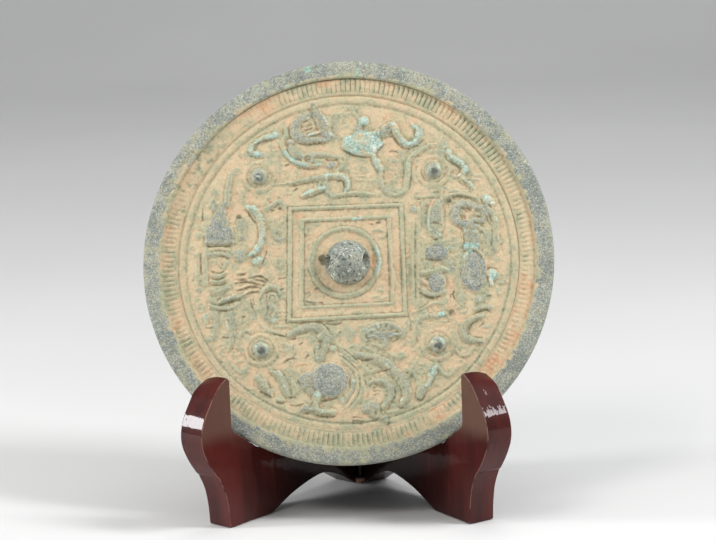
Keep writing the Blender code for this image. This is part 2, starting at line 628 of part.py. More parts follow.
def make_board(side, parts, cutters, lacquer):
    """One board; side is -1 for the left one and +1 for the right one."""
    name = "stand_board_left" if side < 0 else "stand_board_right"
    hinge = (0.0, HINGE_Y * MM, 0.0)
    forward = Vector((side * math.sin(OPENING), -math.cos(OPENING), 0))
    up = Vector((0, 0, 1))
    across = forward.cross(up)
    frame = Matrix((forward, up, across)).transposed().to_4x4()
    frame.translation = Vector(hinge) - side * across * (BOARD / 2 * MM)
    board = add_object(name, board_mesh(name, side, parts), parts, lacquer)
    board.matrix_world = frame
    rounded = board.modifiers.new("eased_edges", "BEVEL")
    rounded.width = EDGE_ROUND * MM
    rounded.segments = 1
    rounded.limit_method = "ANGLE"
    rounded.angle_limit = math.radians(50)
    barrel = upright_cylinders(f"{name}_barrel", BARREL_RADIUS, [(0, BARREL_TOP)], 20, cutters)
    clearance = upright_cylinders(f"{name}_clearance", BARREL_RADIUS + GAP, bare_spans(side), 24,
                                  cutters)
    bore = upright_cylinders(f"{name}_bore", PIN_RADIUS + GAP, [(-3, UPRIGHT_TOP + 4)], 16, cutters)
    for thing, operation in ((barrel, "UNION"), (clearance, "DIFFERENCE"), (bore, "DIFFERENCE")):
        thing.matrix_world = Matrix.Translation(hinge)
        add_boolean(board, thing, operation)
    return board


def make_pin(parts, steel):
    """Turned hinge pin with a small domed head."""
    head = BARREL_TOP + GAP
    profile = [(0, head + 1.7), (1.2, head + 1.4), (1.9, head + 0.7), (2.0, head),
               (PIN_RADIUS, head), (PIN_RADIUS, PIN_FOOT + 0.3), (PIN_RADIUS - 0.3, PIN_FOOT),
               (0, PIN_FOOT)]
    mesh = bpy.data.meshes.new("hinge_pin")
    mesh.from_pydata([(r * MM, 0, z * MM) for r, z in profile],
                     [(k, k + 1) for k in range(len(profile) - 1)], [])
    pin = add_object("hinge_pin", mesh, parts, steel)
    pin.location = (0, HINGE_Y * MM, 0)
    turned = pin.modifiers.new("turned", "SCREW")
    turned.axis = "Z"
    turned.steps = turned.render_steps = 14
    turned.use_merge_vertices = True
    turned.merge_threshold = 0.00001
    return pin


def main():
    clear_scene()
    parts = new_collection("bronze_mirror_on_stand")
    cutters = new_collection("cutters")
    bronze = plain_material("patinated_bronze", (0.42, 0.40, 0.31), 0.62, 0.35)
    lacquer = plain_material("red_brown_lacquer", (0.075, 0.022, 0.018), 0.22, 0.0)
    steel = plain_material("dull_steel", (0.16, 0.14, 0.14), 0.45, 0.9)
    pieces = [make_mirror(parts, cutters, bronze)]
    pieces += [make_board(side, parts, cutters, lacquer) for side in (-1, 1)]
    pieces.append(make_pin(parts, steel))
    stand = bpy.data.objects.new("mirror_on_stand", None)
    parts.objects.link(stand)
    bpy.context.view_layer.update()
    for piece in pieces:
        placed = piece.matrix_world.copy()
        piece.parent = stand
        piece.matrix_world = placed


main()
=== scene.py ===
"""Ancient bronze mirror leaning in a folding lacquered stand: the finished look over the CAD frame."""
import math

import bmesh
import bpy
import numpy as np
from mathutils import Matrix, Vector, noise

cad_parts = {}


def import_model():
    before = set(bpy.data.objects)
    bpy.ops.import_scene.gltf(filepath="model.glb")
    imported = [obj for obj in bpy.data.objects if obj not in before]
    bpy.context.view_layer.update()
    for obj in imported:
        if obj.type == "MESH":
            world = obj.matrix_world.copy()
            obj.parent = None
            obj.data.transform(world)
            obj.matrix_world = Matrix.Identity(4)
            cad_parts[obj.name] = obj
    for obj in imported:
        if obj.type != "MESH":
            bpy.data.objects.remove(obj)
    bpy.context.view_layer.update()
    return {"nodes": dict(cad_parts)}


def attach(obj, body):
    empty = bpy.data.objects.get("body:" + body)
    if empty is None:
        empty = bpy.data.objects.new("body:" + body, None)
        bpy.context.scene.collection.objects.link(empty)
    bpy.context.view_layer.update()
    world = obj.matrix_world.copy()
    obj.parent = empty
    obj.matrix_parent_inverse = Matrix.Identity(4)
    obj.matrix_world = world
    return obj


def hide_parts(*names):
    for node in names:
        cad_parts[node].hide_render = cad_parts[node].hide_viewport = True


MM = 0.001

# mirror, in mm: radii, levels above the edge of the reflecting side, and places on the decorated side
RADIUS = 90.0
RIM_THICK = 4.5
COMB_LEVEL = 3.2
RING_OUTER = 74.8
RING_INNER = 71.4
RING_LEVEL = 3.5
RING_WEAR = 0.65               # how far the low ring has worn down
FIELD_LEVEL = 2.3
FIELD_END = 70.5               # outside this radius the painted shade and highlight from the hollows are weaker
CHAMFER = 0.6
EDGE_DROP = 0.38
CROWN = 1.2
LEAN = math.radians(24.3)
DRAWING_TURN = math.radians(0.85)
DRAWING_LIFT = 0.48            # the drawing's centre lies this far below the disc's
KNOB_RADIUS = 10.0
KNOB_ROOT = 1.3                # how deep the knob sits in the disc
BORE_RADIUS = 3.1
BORE_HEIGHT = 3.9
NIPPLE_RADIUS = 3.5
NIPPLES = ((-39.6, 38.8), (37.3, 40.6), (39.4, -36.8), (-37.6, -38.8))
SPOTS_ON_NIPPLE = 9
SQUARE_OUTER_CORNERS = [(-25.7, 24.0), (23.2, 25.3), (25.2, -23.5), (-25.5, -25.9)]
SQUARE_INNER_CORNERS = [(-20.4, 18.8), (17.8, 20.0), (19.6, -18.7), (-20.1, -20.4)]
COLLAR_CENTRE = (-1.4, -0.1)
COLLAR_RADIUS = 15.1
KNOB_CENTRE = (-0.2, -0.8)
FIELD_RINGS = 154              # rings of the fine grid inside the comb band
FIELD_GRID = 75.0              # and the radius of the last of them
SCROLLS = 760                  # tries at small curls on the ground, many of them under figures
SCROLLS_RADIUS = 69.0
SCROLLS_INNER = 27.5           # half side of the square that has none
MAP_HALF = 78.0                # the relief is worked out on a square map of this half side
MAP_STEP = 0.25

# radius, half width and strength of the dark lines along the low ring: shallow grooves darkened as painted
# shade
RING_MARKS = ((RING_INNER - 0.1, 1.0, 0.62), (RING_OUTER + 0.2, 0.8, 0.4),
              (73.4, 0.6, 0.3), (69.6, 0.6, 0.25))

# limbs lower or thinner than these get no lines cut in them, and the wide ones get feather cuts
LOW_LIMB = 0.5
THIN_LIMB = 0.8
WIDE_LIMB = 1.3
FEATHER_SPACING = 1.45
THIN_LINE = 0.56               # lines of less than this half width are darkened a little

# radius, height of the teeth and kind of each ring of points outside the fine grid
OUTER_RINGS = ((75.35, 0.3, "string"), (75.8, 0, "flat"), (76.2, 0.3, "comb"), (76.7, 1, "comb"),
               (78.1, 1, "comb"), (79.5, 1, "comb"), (80.8, 1, "comb"), (81.7, 0.6, "comb"),
               (82.2, 0, "foot"), (82.6, 0, "rim"), (83.3, 0, "rim"), (84.5, 0, "rim"),
               (85.9, 0, "rim"), (87.3, 0, "rim"), (88.6, 0, "rim"), (89.35, 0, "rim"),
               (89.75, 0, "edge"))
COMB_FOOT = 77                 # inside this radius the comb's end steps down
COMB_MIDDLE = 79               # outside this radius the comb is worn away on the right
RIM_FLAT = (83, 89)
RIM_BARE = 84.6                # inside this radius the rim keeps more of its crust
CRUST_END = 87
TEETH = 231

# the four points across a tooth: where they lie, their height, and how deep in a groove they are
UNEVEN_TOOTH = np.array([0.0, 0.22, 0.5, 0.78])
TOOTH_SHAPE = (-1.0, -0.15, 0.25, -0.15)
GROOVE_SHAPE = (1.0, 0.35, 0.0, 0.35)

# stand, in mm
HINGE_Y = 31.7
MIRROR_Y = HINGE_Y - 20.3
MIRROR_Z = 105.8
OPENING = math.radians(37)
BOARD = 12.5
BACK_END = -6.5
LIP_BACK = 82.0
LIP_TOP = 66.0
SEAT_CURVE = 2.6               # width of the curve between the seat and the lip
UPRIGHT_TOP = 121.0
EDGE_ROUND = 0.45
LIP_ROUNDING = 2.2
LIP_CUTS = (3.0, 5.0, 7.0, 8.5, 10.0, 11.3)    # edge loops over the lip, from the inner face
LIP_CUTS_LOW = 57              # they lie above this height
ROUNDING_LOW = 60.0            # and the rounding starts at this one
ROUNDING_WIDTH = 9.5
PIN_RADIUS = 1.1
BARREL_RADIUS = 3.2
BARREL_TOP = 114.0
EXPOSED_PIN = (3.2, 14.0)
KNUCKLES = (14.0, 39.8, 65.0, 90.2)
GAP = 0.3
PAST_FOOT = 3                  # how far the hinge's cutting tools reach below and above the boards
PAST_TOP = 4

# camera and studio, in m and degrees; the camera's lens and target in mm
CAMERA_TURN = 4.25
CAMERA_RISE = 12.3
CAMERA_ROLL = 2.2
CAMERA_LENS = 149.9
CAMERA_TARGET = (4.9, 0.4, 104.5)
CAMERA_DISTANCE = 1.295
OBJECT_MIDDLE = (0.0, 0.0, 0.1)
FLOOR_FRONT = (-3.0, 0.0)
FLOOR_BEND = 1.2
FLOOR_CURVE = 0.8
FLOOR_TOP = (2.0, 3.5)
FLOOR_HALF = 3.5
FLOOR_BELOW = 0.0003           # keeps the paper just under the feet

# name, side, turn from the front, rise, height and power of each strip light
STRIP_LIGHTS = (("left_strip", -1, 83.6, 19.5, 0.3, 7.0), ("right_strip", 1, 75.6, 45.5, 0.56, 8.6))

# amounts of (verdigris, bare metal, olive, dark crust and painted shade, pale crust, red earth) of each
# finish
CHANNELS = 6
VERDIGRIS, METAL, OLIVE, DARK, PALE, RED = range(CHANNELS)
RIM_FINISH = (0.1, 1.0, 0.2, 0.0, 0.0, 0.0)
COMB_FINISH = (0.02, 0.05, 0.45, 0.0, 0.0, 0.0)
THIN_LINE_DARKER = np.array([0.0, 0.0, 0.0, 0.35, 0.0, 0.0])
TINTS = {"line": (0.05, 0.1, 0.8, 0.0, 0.0, 0.0), "moss": (0.15, 0.66, 0.9, 0.1, 0.0, 0.0),
         "sage": (0.45, 0.35, 0.8, 0.0, 0.1, 0.0), "green": (1.0, 0.3, 0.4, 0.0, 0.15, 0.0),
         "metal": (0.1, 1.0, 0.4, 0.0, 0.0, 0.0), "pale": (0.8, 0.4, 0.2, 0.0, 0.8, 0.0),
         "crust": (0.6, 0.8, 0.3, 0.3, 0.3, 0.0), "light": (0.2, 0.1, 0.2, 0.0, 0.8, 0.0),
         "earth": (0.0, 0.0, 0.15, 0.0, 0.15, 0.2), "rose": (0.0, 0.0, 0.0, 0.0, 0.1, 1.0),
         "dark": (0.1, 0.5, 0.5, 0.9, 0.0, 0.0), "cut": (0.0, 0.0, 0.3, 1.0, 0.0, 0.0),
         "groove": (0.0, 0.2, 0.9, 0.55, 0.0, 0.0), "stud": (0.3, 0.9, 0.5, 0.15, 0.1, 0.0),
         "film_and_painted_reflection": (0.05, 0.05, 0.6, 0.0, 0.0, 0.0), "frost": (0.72, 0.25, 0.7, 0.0, 0.42, 0.0),
         "pit": (0.2, 1.0, 0.5, 0.85, 0.0, 0.0),
         "teal": (0.55, 0.8, 0.6, 0.2, 0.0, 0.0)}


# --------------------------------------------------------------------------
# relief drawing, in mm on the mirror's face
# --------------------------------------------------------------------------

def smooth_path(points, steps=6):
    """A smooth curve through the points, a straight line where there are two."""
    p = np.array(points, dtype=float)
    if len(p) == 2:
        return np.linspace(p[0], p[1], steps + 1)
    padded = np.vstack([2 * p[0] - p[1], p, 2 * p[-1] - p[-2]])
    t = np.linspace(0.0, 1.0, steps, endpoint=False)[:, None]
    spans = []
    for a, b, c, d in zip(padded, padded[1:], padded[2:], padded[3:]):
        spans.append(0.5 * (2 * b + (c - a) * t + (2 * a - 5 * b + 4 * c - d) * t**2
                            + (3 * b - a - 3 * c + d) * t**3))
    return np.vstack(spans + [p[-1:]])


def stroke(points, widths, height, tint="line"):
    """A round-backed limb or line along the points, its widths spread evenly over its length."""
    line = smooth_path(points)
    along = np.linspace(0.0, 1.0, len(line))
    widths = np.atleast_1d(widths)
    width = np.interp(along, np.linspace(0.0, 1.0, len(widths)), widths)
    return ("stroke", line, width / 2, height, tint)


def cut(points, widths, depth=0.35):
    """An engraved line, filled dark; many run along the lower edges of figures, where the dark also stands
    in as painted shadow.
    """
    return stroke(points, widths, -depth, "cut")


def mound(x, y, rx, ry, height, turn=0.0, tint="metal"):
    """A round or oval boss."""
    return ("mound", (x, y, rx, ry, math.radians(turn)), None, height, tint)


def ring_arc(x, y, radius, start, end, width, height, tint="line"):
    """A stroke along an arc, its ends given in degrees."""
    steps = max(3, int(abs(end - start) / 30) + 1)
    angles = np.radians(np.linspace(start, end, steps))
    points = [(x + radius * math.cos(a), y + radius * math.sin(a)) for a in angles]
    return stroke(points, width, height, tint)


def bars(x, y, step_x, step_y, run_x, run_y, count, width, height, tint="earth"):
    """A ladder of short parallel strokes."""
    return [
        stroke([(x + i * step_x, y + i * step_y),
                (x + i * step_x + run_x, y + i * step_y + run_y)], width, height, tint)
        for i in range(count)
    ]


def coiled_dragon():
    """Top left: a coiled dragon and the curls below it."""
    return [
        stroke([(-17.6, 66.8), (-22, 64.4), (-24, 60.4), (-22.4, 56.8), (-17.6, 54.9), (-11.4, 55.2)],
               [1.8, 3.4, 4.6, 4.8, 4.2, 3.4], 1.6, "metal"),
        stroke([(-16.2, 71.4), (-14.6, 67.4), (-12.4, 63.6), (-10.8, 60), (-9.8, 57.4)],
               [2.4, 4.0, 4.6, 5.2, 5.4], 1.7, "crust"),
        stroke([(-21.2, 64), (-18, 65.2)], 0.9, 1.6, "pale"),
        stroke([(-20.4, 61.9), (-17.4, 63.2)], 0.8, 0.9, "earth"),
        stroke([(-19.6, 58.6), (-17, 60), (-15.4, 61.6)], [0.7, 0.9, 0.7], 0.9, "earth"),
        stroke([(-18, 57.2), (-15.2, 58), (-13, 58.6)], [0.7, 0.9, 0.7], 1.9, "pale"),
        stroke([(-11, 65.6), (-9.4, 61.6)], [0.6, 1.0], 1.9, "pale"),
        stroke([(-8.8, 58.4), (-6.8, 56.4)], [1.0, 0.8], 1.6, "pale"),
        cut([(-18.6, 61.2), (-16.6, 62.4)], 0.6),
        cut([(-19.4, 59.4), (-16.4, 60.6)], 0.9),
        cut([(-19, 56), (-14, 56.6), (-10, 56)], 0.7),
        cut([(-23, 53.7), (-18, 53), (-10, 53.8)], [0.5, 0.9, 0.6]),
        stroke([(-9.8, 66), (-8.4, 61.6)], [1, 1.6], 0.8),
        stroke([(-6.8, 66), (-6, 61), (-7.4, 55.6)], [1.2, 2, 1.2], 0.8, "moss"),
        stroke([(-28.6, 61.2), (-27.8, 58), (-29.4, 54.4), (-29, 50.8)], [1, 1.5, 1.9, 1.7], 1.3),
        stroke([(-29.4, 53), (-28.2, 49.6), (-25.4, 46.4), (-21.4, 44.4), (-16.6, 43.4), (-12, 44)],
               [1.2, 1.6, 1.6, 1.8, 1.6, 1], 1.5, "green"),
        stroke([(-26, 52), (-24, 49), (-20.6, 47.8)], [2.2, 4.6, 3], 1.3, "moss"),
        ring_arc(-18.2, 46.4, 2.1, 0, 360, 1.1, 1.4, "moss"),
        mound(-18.2, 46.4, 0.9, 0.9, 1.2, 0, "dark"),
        stroke([(-15.4, 48.2), (-11.4, 48.4), (-7.4, 47.4), (-4, 47)], [3, 2.8, 2, 1.2], 1.3, "moss"),
        stroke([(-15, 45.4), (-11.4, 45.6)], [2.4, 1.6], 1.1),
        mound(-25.6, 54.2, 1.5, 1.2, 1.3, 0, "metal"),
        mound(-7.6, 43.6, 2.0, 1.5, 1.3, 10, "metal"),
        cut([(-10.4, 46), (-7.6, 45.6), (-5, 46)], 0.7),
        cut([(-24.6, 43.6), (-20, 42), (-13, 41.8)], [0.5, 0.8, 0.6]),
        cut([(-28, 43.6), (-26.4, 44.2)], 0.9),
        stroke([(-4.4, 46.4), (-2.8, 43.4), (-5.2, 40.8)], [1.2, 1.5, 1], 0.9),
    ] + bars(-33.4, 36.4, 0.9, 0.4, 0, 3.6, 8, 0.6, 0.3, "earth")


def winged_figure():
    """Top: a winged figure, and the looped bands on its right."""
    return [
        stroke([(0.8, 69.6), (2.4, 66.6), (4, 64.8)], [1.6, 1.4, 1], 0.9, "moss"),
        stroke([(3.6, 69.4), (4.4, 67)], 1, 0.8),
        mound(6.4, 63.4, 2.4, 2.1, 1.7, 0, "green"),
        stroke([(4, 60.6), (4.2, 57.6)], [3, 3.6], 1.2, "moss"),
        mound(2.6, 53.4, 5.6, 3.9, 1.6, -6, "frost"),
        mound(8.6, 53.6, 5.8, 5.2, 1.9, 0, "frost"),
        mound(5.2, 56.6, 3.6, 2.6, 1.7, 0, "green"),
        stroke([(-2.8, 52.2), (0.6, 50), (5, 48.7), (10.6, 48)], [1, 2, 2.4, 2], 1.7, "green"),
        mound(10.8, 51.2, 2, 2.4, 1.9, 0, "pale"),
        stroke([(15.4, 54), (13.6, 51.8), (11.6, 50.2)], [0.8, 1, 1], 1.5, "pale"),
        cut([(-3, 50.6), (2, 48), (8, 46.8)], [0.5, 0.9, 0.6]),
        cut([(15.6, 53), (14.2, 51), (12.6, 49.6)], 0.6),
        stroke([(11.4, 57), (14.6, 58.2), (17.4, 60.6), (19.4, 61.6)], [3.4, 4.6, 4, 3.2], 1.7, "crust"),
        stroke([(19.4, 61.8), (20.8, 58.4), (22.8, 55.2), (25.8, 52.8), (28.6, 53.2), (31, 55.8),
                (31.2, 58.4), (29.6, 60.6)], [3, 3, 2.8, 2.8, 2.8, 3, 2.6, 1.4], 1.8, "green"),
        mound(30.6, 56.8, 1.5, 1.5, 2.0, 0, "pale"),
        stroke([(27.4, 62.2), (28.8, 60.2)], [0.9, 1.3], 0.9, "green"),
        cut([(16, 55.6), (19, 56.2), (20.6, 54), (23, 51.4), (27, 50.4)], [0.5, 0.8, 0.7]),
        stroke([(24.4, 66), (25.4, 63)], 0.9, 0.5),
        stroke([(10.4, 48.2), (12.2, 44.8), (13.8, 42), (14.6, 39)], [1.6, 3.2, 2.8, 1.6], 1.8, "green"),
        stroke([(14.4, 39.4), (14.1, 36), (15.4, 32.6), (18, 30.3), (21.4, 29.8)],
               [1.6, 1.5, 1.8, 2, 1.8], 1.1, "moss"),
        stroke([(21.4, 29.8), (24.6, 31.6), (25.7, 35.6), (25.9, 40), (26.2, 44), (28, 47.4),
                (31.4, 49.8), (35.8, 52.2)], [1.8, 1.8, 2.1, 2.1, 2.1, 2.2, 2, 1.4], 1.2, "sage"),
        cut([(24.2, 45), (24, 38), (23.4, 33.4)], 0.6),
        cut([(27.7, 44.6), (27.4, 38), (26.9, 32.6)], 0.6),
        cut([(18, 49.4), (19.6, 49.8), (21.6, 49)], 0.8),
        mound(20, 45.2, 1.4, 1.3, 0.8, 0, "moss"),
        ring_arc(20.2, 42.8, 1.9, 200, 340, 0.8, 0.6),
        ring_arc(4.2, 42.8, 1.5, 180, 360, 0.9, 0.6),
        stroke([(1.8, 45.6), (4.4, 46), (7.4, 45.4)], 0.9, 0.6),
        stroke([(7.4, 42.4), (8, 40.6)], 1, 0.6),
    ] + bars(18, 47.6, 0, -1.9, 3.8, -0.2, 7, 0.8, 0.6) + \
        bars(1.6, 40.4, 0, -1.8, 6.2, -0.1, 3, 0.8, 0.6) + \
        bars(15.4, 64, 1.2, -0.1, 0.1, 3.4, 4, 0.6, 0.35)


def running_beast():
    """Above the square: a long running beast."""
    return [
        stroke([(-20, 29.6), (-16.4, 31.4), (-13, 32.6), (-10.4, 33.2)], [1.6, 3, 3, 2], 1.7, "green"),
        mound(-17.2, 30.8, 1.9, 1.2, 1.9, 25, "pale"),
        stroke([(-33.4, 34.8), (-29, 35), (-24, 35.8), (-19, 37), (-14, 37.6), (-10, 38.2)],
               [0.7, 1, 1.3, 2, 2.6, 3], 1.2, "moss"),
        stroke([(-10, 38.4), (-6, 38.9), (-2.8, 38.4), (-0.6, 36.2), (-0.4, 33.6), (-1.6, 31.4)],
               [2.8, 2.6, 2.6, 2.4, 2, 1], 1.6, "green"),
        stroke([(-10.6, 38), (-9.9, 34.6), (-9, 31.4), (-6.4, 29.4)], [2, 2.4, 2.4, 1.8], 1.2, "moss"),
        stroke([(-6.6, 29.4), (-2, 30.4), (3, 30.9), (8, 30.6), (12.8, 29.6)],
               [1.6, 1.5, 1.4, 1.3, 0.8], 1.1),
        cut([(-25, 34.2), (-19, 35.4), (-13, 36)], [0.5, 0.7, 0.5]),
        cut([(-19, 28.2), (-14, 30.2), (-10.6, 31.6)], 0.6),
        cut([(-24.4, 32), (-22.4, 33.4)], 0.9),
        cut([(-5.4, 36.4), (-2.6, 36.2), (-2, 33.6)], 0.7),
        cut([(-6, 28.3), (2, 29.4), (10, 28.8)], [0.4, 0.6, 0.4]),
        stroke([(-27.6, 35), (-27, 32.4)], [0.9, 1.2], 0.6),
        stroke([(7.6, 34.6), (10.8, 35.6)], 1, 0.5, "earth"),
        stroke([(8, 33), (11.4, 33.2)], 0.9, 0.5, "earth"),
    ]


def corner_clouds():
    """Cloud curls and short lines near the studs."""
    return [
        stroke([(-33, 57.4), (-36.6, 56.6), (-40, 55.2), (-43, 52.4), (-43.2, 50), (-41, 49)],
               [2.8, 2.6, 1.8, 1.8, 2.4, 3], 1.5, "green"),
        mound(-38.8, 48.6, 1.4, 1.3, 1.2, 0, "crust"),
        mound(-42.4, 49.4, 1.2, 1.3, 1.6, 0, "pale"),
        cut([(-41.6, 53), (-38, 54.6), (-34, 55.2)], 0.6),
        stroke([(-33.4, 60.2), (-31, 58)], 0.9, 0.5),
        stroke([(43.8, 49.4), (44.8, 46.8), (47.4, 45.2), (49.8, 43.8), (51, 41), (50, 38.4),
                (50.6, 36.4), (53, 34.6), (54.4, 32.4)],
               [1.6, 3, 2.8, 2.4, 3, 2.2, 3, 2.6, 1.4], 1.6, "green"),
        stroke([(48, 37.8), (49.6, 39.2)], 1, 1.5, "pale"),
        stroke([(48.4, 43.6), (50.4, 43.8)], 0.9, 1.9, "pale"),
        stroke([(54.6, 36.4), (57, 36.2)], 1, 0.9, "moss"),
        cut([(44.4, 44.6), (47, 43), (48.8, 41)], 0.7),
        cut([(51.6, 36.2), (53.4, 36)], 0.6),
        stroke([(54, 41.6), (56.4, 43), (57.4, 41)], 0.9, 0.5, "earth"),
        stroke([(47.2, -39.4), (49.6, -41.9), (52.6, -41.6), (53.8, -39.4)], 1.4, 0.9),
        mound(50.5, -40.4, 1.4, 0.8, 0.7, 0, "earth"),
        stroke([(39, -45.5), (41.6, -49.4), (45, -50.4), (47.6, -47)], [1, 1.5, 1.5, 0.9], 0.8),
        stroke([(-47.4, -33.4), (-46.2, -31.2), (-44, -30.2), (-41.8, -31.4)], [1, 1.3, 1.3, 0.8], 0.9),
        stroke([(-50, -46), (-46.5, -49), (-43, -46.5)], 1.3, 0.7),
        cut([(-46, -24), (-44.6, -24)], 0.9),
        stroke([(-46.8, -26.8), (-45, -26)], 1, 0.5),
        stroke([(-50, -41), (-48.4, -41.4)], 1, 0.5),
        stroke([(-44.6, -48.8), (-42, -48.8)], 0.9, 0.5),
    ]


def long_necked_bird():
    """Left: a long-necked bird and the straight lines below it."""
    return [
        stroke([(-52.4, 39.4), (-53.2, 35), (-53.5, 30.6), (-54, 26.4)],
               [1.8, 2.4, 2.2, 2.4], 1.3, "moss"),
        stroke([(-55, 26), (-56.4, 21.8), (-57.2, 17)], [2, 4.6, 8.6], 1.6, "metal"),
        mound(-57, 12.4, 6.5, 5.4, 1.9, 0, "metal"),
        stroke([(-62.4, 9.4), (-57, 8.8), (-51.4, 9.2)], [2, 3, 2], 1.7, "metal"),
        stroke([(-61, 5.9), (-56.6, 6.4), (-52.4, 5.8)], [0.9, 1.3, 0.9], 1.2, "earth"),
        cut([(-61.6, 7.4), (-57, 7.3), (-51.6, 7.5)], 0.6),
        stroke([(-62.4, 3.6), (-56.8, 3.9), (-52.2, 3.1)], [1.6, 2.2, 1.4], 1.0, "moss"),
        cut([(-58, 2.9), (-55, 2.9), (-52.4, 1.8)], 0.7),
        stroke([(-63.2, 4), (-62.9, -2), (-62.4, -9.6)], [1.8, 1.8, 2.2], 1.1, "sage"),
        stroke([(-66.4, 4.6), (-66.2, -2), (-66, -9.6)], [1, 1.2, 1.8], 0.8),
        cut([(-64.9, 4.4), (-64.8, -4.6)], [0.5, 0.9]),
        stroke([(-54.6, 1.4), (-53.6, -0.6), (-54.8, -2.6)], [1.2, 1.4, 1], 0.8),
        stroke([(-60.4, 0.8), (-57.4, 0.4), (-56.4, -1.6)], 1.1, 0.8),
        cut([(-60, -3.9), (-56.8, -4.6), (-54.4, -3.8)], 0.9),
        stroke([(-60.4, -5.6), (-56.6, -5.8), (-53.6, -4.4)], [1, 1.3, 1], 0.9),
        cut([(-59.8, -7.2), (-56.8, -7.6), (-54.4, -6.6)], 0.9),
        stroke([(-60.4, -8.2), (-56.6, -8.4), (-53.4, -7.4)], [1, 1.3, 1], 0.9),
        cut([(-59.8, -10), (-55.6, -9.8), (-53.6, -8.8)], 0.9),
        mound(-47.8, 3, 2.3, 3.2, 1.2, 8, "moss"),
        stroke([(-60, 33.6), (-59, 31.2), (-59.4, 28.6)], [0.8, 1.8, 1], 0.8, "moss"),
        stroke([(-60, 27), (-59.6, 24.4)], [1.6, 2.2], 0.8, "moss"),
        cut([(-64.4, 25), (-64.3, 19)], [0.6, 0.9]),
        mound(-65.6, 12.4, 1.5, 1.7, 0.7, 0, "line"),
    ]


def crescent_wing():
    """Left of the square: a crescent wing with curls round it."""
    return [
        stroke([(-44, 24.8), (-41.2, 23.6), (-39.2, 20.6), (-38.1, 16.4), (-38, 12), (-38.9, 8),
                (-40.8, 5.2), (-43, 3.6)], [2.4, 3, 3, 2.8, 2.6, 2.8, 2.8, 1.6], 1.7, "green"),
        # a dark cut on the crescent's inner side, partly painted shade
        cut([(-44.4, 22.6), (-42.6, 20), (-40.9, 17.6)], [1, 1.3, 0.7]),
        mound(-48.2, 20.6, 1.6, 1.3, 1.1, -30, "dark"),
        stroke([(-47.8, 19), (-46.8, 15.4), (-46.4, 11.4)], [2, 3.4, 2.8], 1.2, "moss"),
        mound(-39, 0.5, 3.0, 2.2, 1.4, -10, "sage"),
        cut([(-35.6, 5.6), (-36.2, 3.6), (-36.8, 1.4), (-37.6, -1)], [0.5, 0.7, 0.7]),
        cut([(-42, 2.6), (-39.6, 1.6)], 0.6),
        stroke([(-36.4, 24.2), (-33.8, 25.6), (-31, 27.4), (-28.8, 25.8), (-28.2, 23.6)],
               [1.4, 1.8, 1.8, 1.8, 1], 1.0, "moss"),
        mound(-30.2, 24.4, 1, 1, 0.9, 0, "dark"),
        cut([(-34.4, 23.6), (-32.4, 23.4)], 0.8),
    ]


def feathered_tail():
    """Left: rows of feathers, and the long lines that trail below them."""
    feathers = [
        [(-49, -5.4), (-46.8, -5.4), (-44.8, -4.8)],
        [(-49, -7.6), (-46.4, -7.7), (-44.2, -7.5)],
        [(-49.4, -9.4), (-46, -8.9), (-42.6, -8.9), (-39.8, -9.8), (-36.6, -10.2)],
        [(-42.4, -7), (-39.6, -6.2), (-37.4, -6.6), (-35, -8.2)],
        [(-40.4, -7.9), (-38, -8.2), (-36, -9)],
        [(-49, -12.4), (-46.4, -12.1), (-43.4, -11), (-40.4, -11), (-37.8, -11.6)],
        [(-44.8, -14.2), (-42, -13.4), (-39, -13.1)],
    ]
    found = []
    # each feather: a raised line with a dark cut just below it, the cut partly painted shadow
    for line in feathers:
        found.append(stroke([(x, y + 0.75) for x, y in line], [0.6, 1.1, 0.7], 0.9, "earth"))
        found.append(cut(line, [0.5, 0.9, 0.5]))
    return found + [
        stroke([(-60.2, -12), (-57.4, -13.4), (-55, -12), (-52.2, -11.2)],
               [1.2, 2.6, 2.8, 1.6], 1.1, "moss"),
        stroke([(-56.8, -18), (-53.6, -16.7), (-50, -15.7), (-46.6, -15.1), (-44.4, -14)],
               [1.2, 2.8, 2.8, 2, 0.8], 1.5, "teal"),
        cut([(-56.6, -19.2), (-52, -17.8), (-47, -16.6)], [0.7, 0.9, 0.6]),
        stroke([(-61.6, -14.4), (-60.4, -16.6), (-58, -17.6)], [1, 1.6, 1.2], 0.9),
        stroke([(-60.4, -18.8), (-57.4, -20.2), (-53.4, -20.4), (-49.6, -19.8), (-47.6, -18.4)],
               [1, 1.6, 1.6, 1.6, 0.9], 1.0, "moss"),
        cut([(-59.4, -21), (-54, -21.6), (-49.8, -21)], [0.5, 0.8, 0.5]),
        stroke([(-58, -21), (-57.6, -26), (-57.8, -30), (-58.6, -34)], [1.8, 2, 2, 1.8], 0.9, "moss"),
        stroke([(-51.8, -21.2), (-50.6, -26), (-50.4, -31), (-50.8, -36), (-52, -39.4)],
               [1.6, 2.2, 2.2, 1.8, 1], 1.0, "moss"),
        stroke([(-53.2, -26), (-52.2, -29.4)], [0.7, 1], 0.8, "light"),
        stroke([(-62.8, -23), (-62, -27)], [1.2, 1.8], 0.9, "sage"),
        cut([(-62.4, -28.8), (-59.8, -29.1)], 0.8),
        cut([(-54.6, -33.2), (-52, -33.4)], 0.7),
        stroke([(-55, -24), (-54.4, -27.4)], [0.8, 1], 0.5, "earth"),
        cut([(-42.8, -16), (-41.8, -19.4), (-40.2, -22.4)], [0.5, 0.9, 0.5]),
        cut([(-41.6, -16), (-40.8, -19)], 0.6),
        stroke([(-43.8, -16.4), (-43, -19.6), (-42, -22)], [0.7, 1.1, 0.7], 0.8),
        stroke([(-47.4, -21.6), (-46.2, -24.8), (-48, -28)], [0.8, 1.1, 0.8], 0.5),
    ]


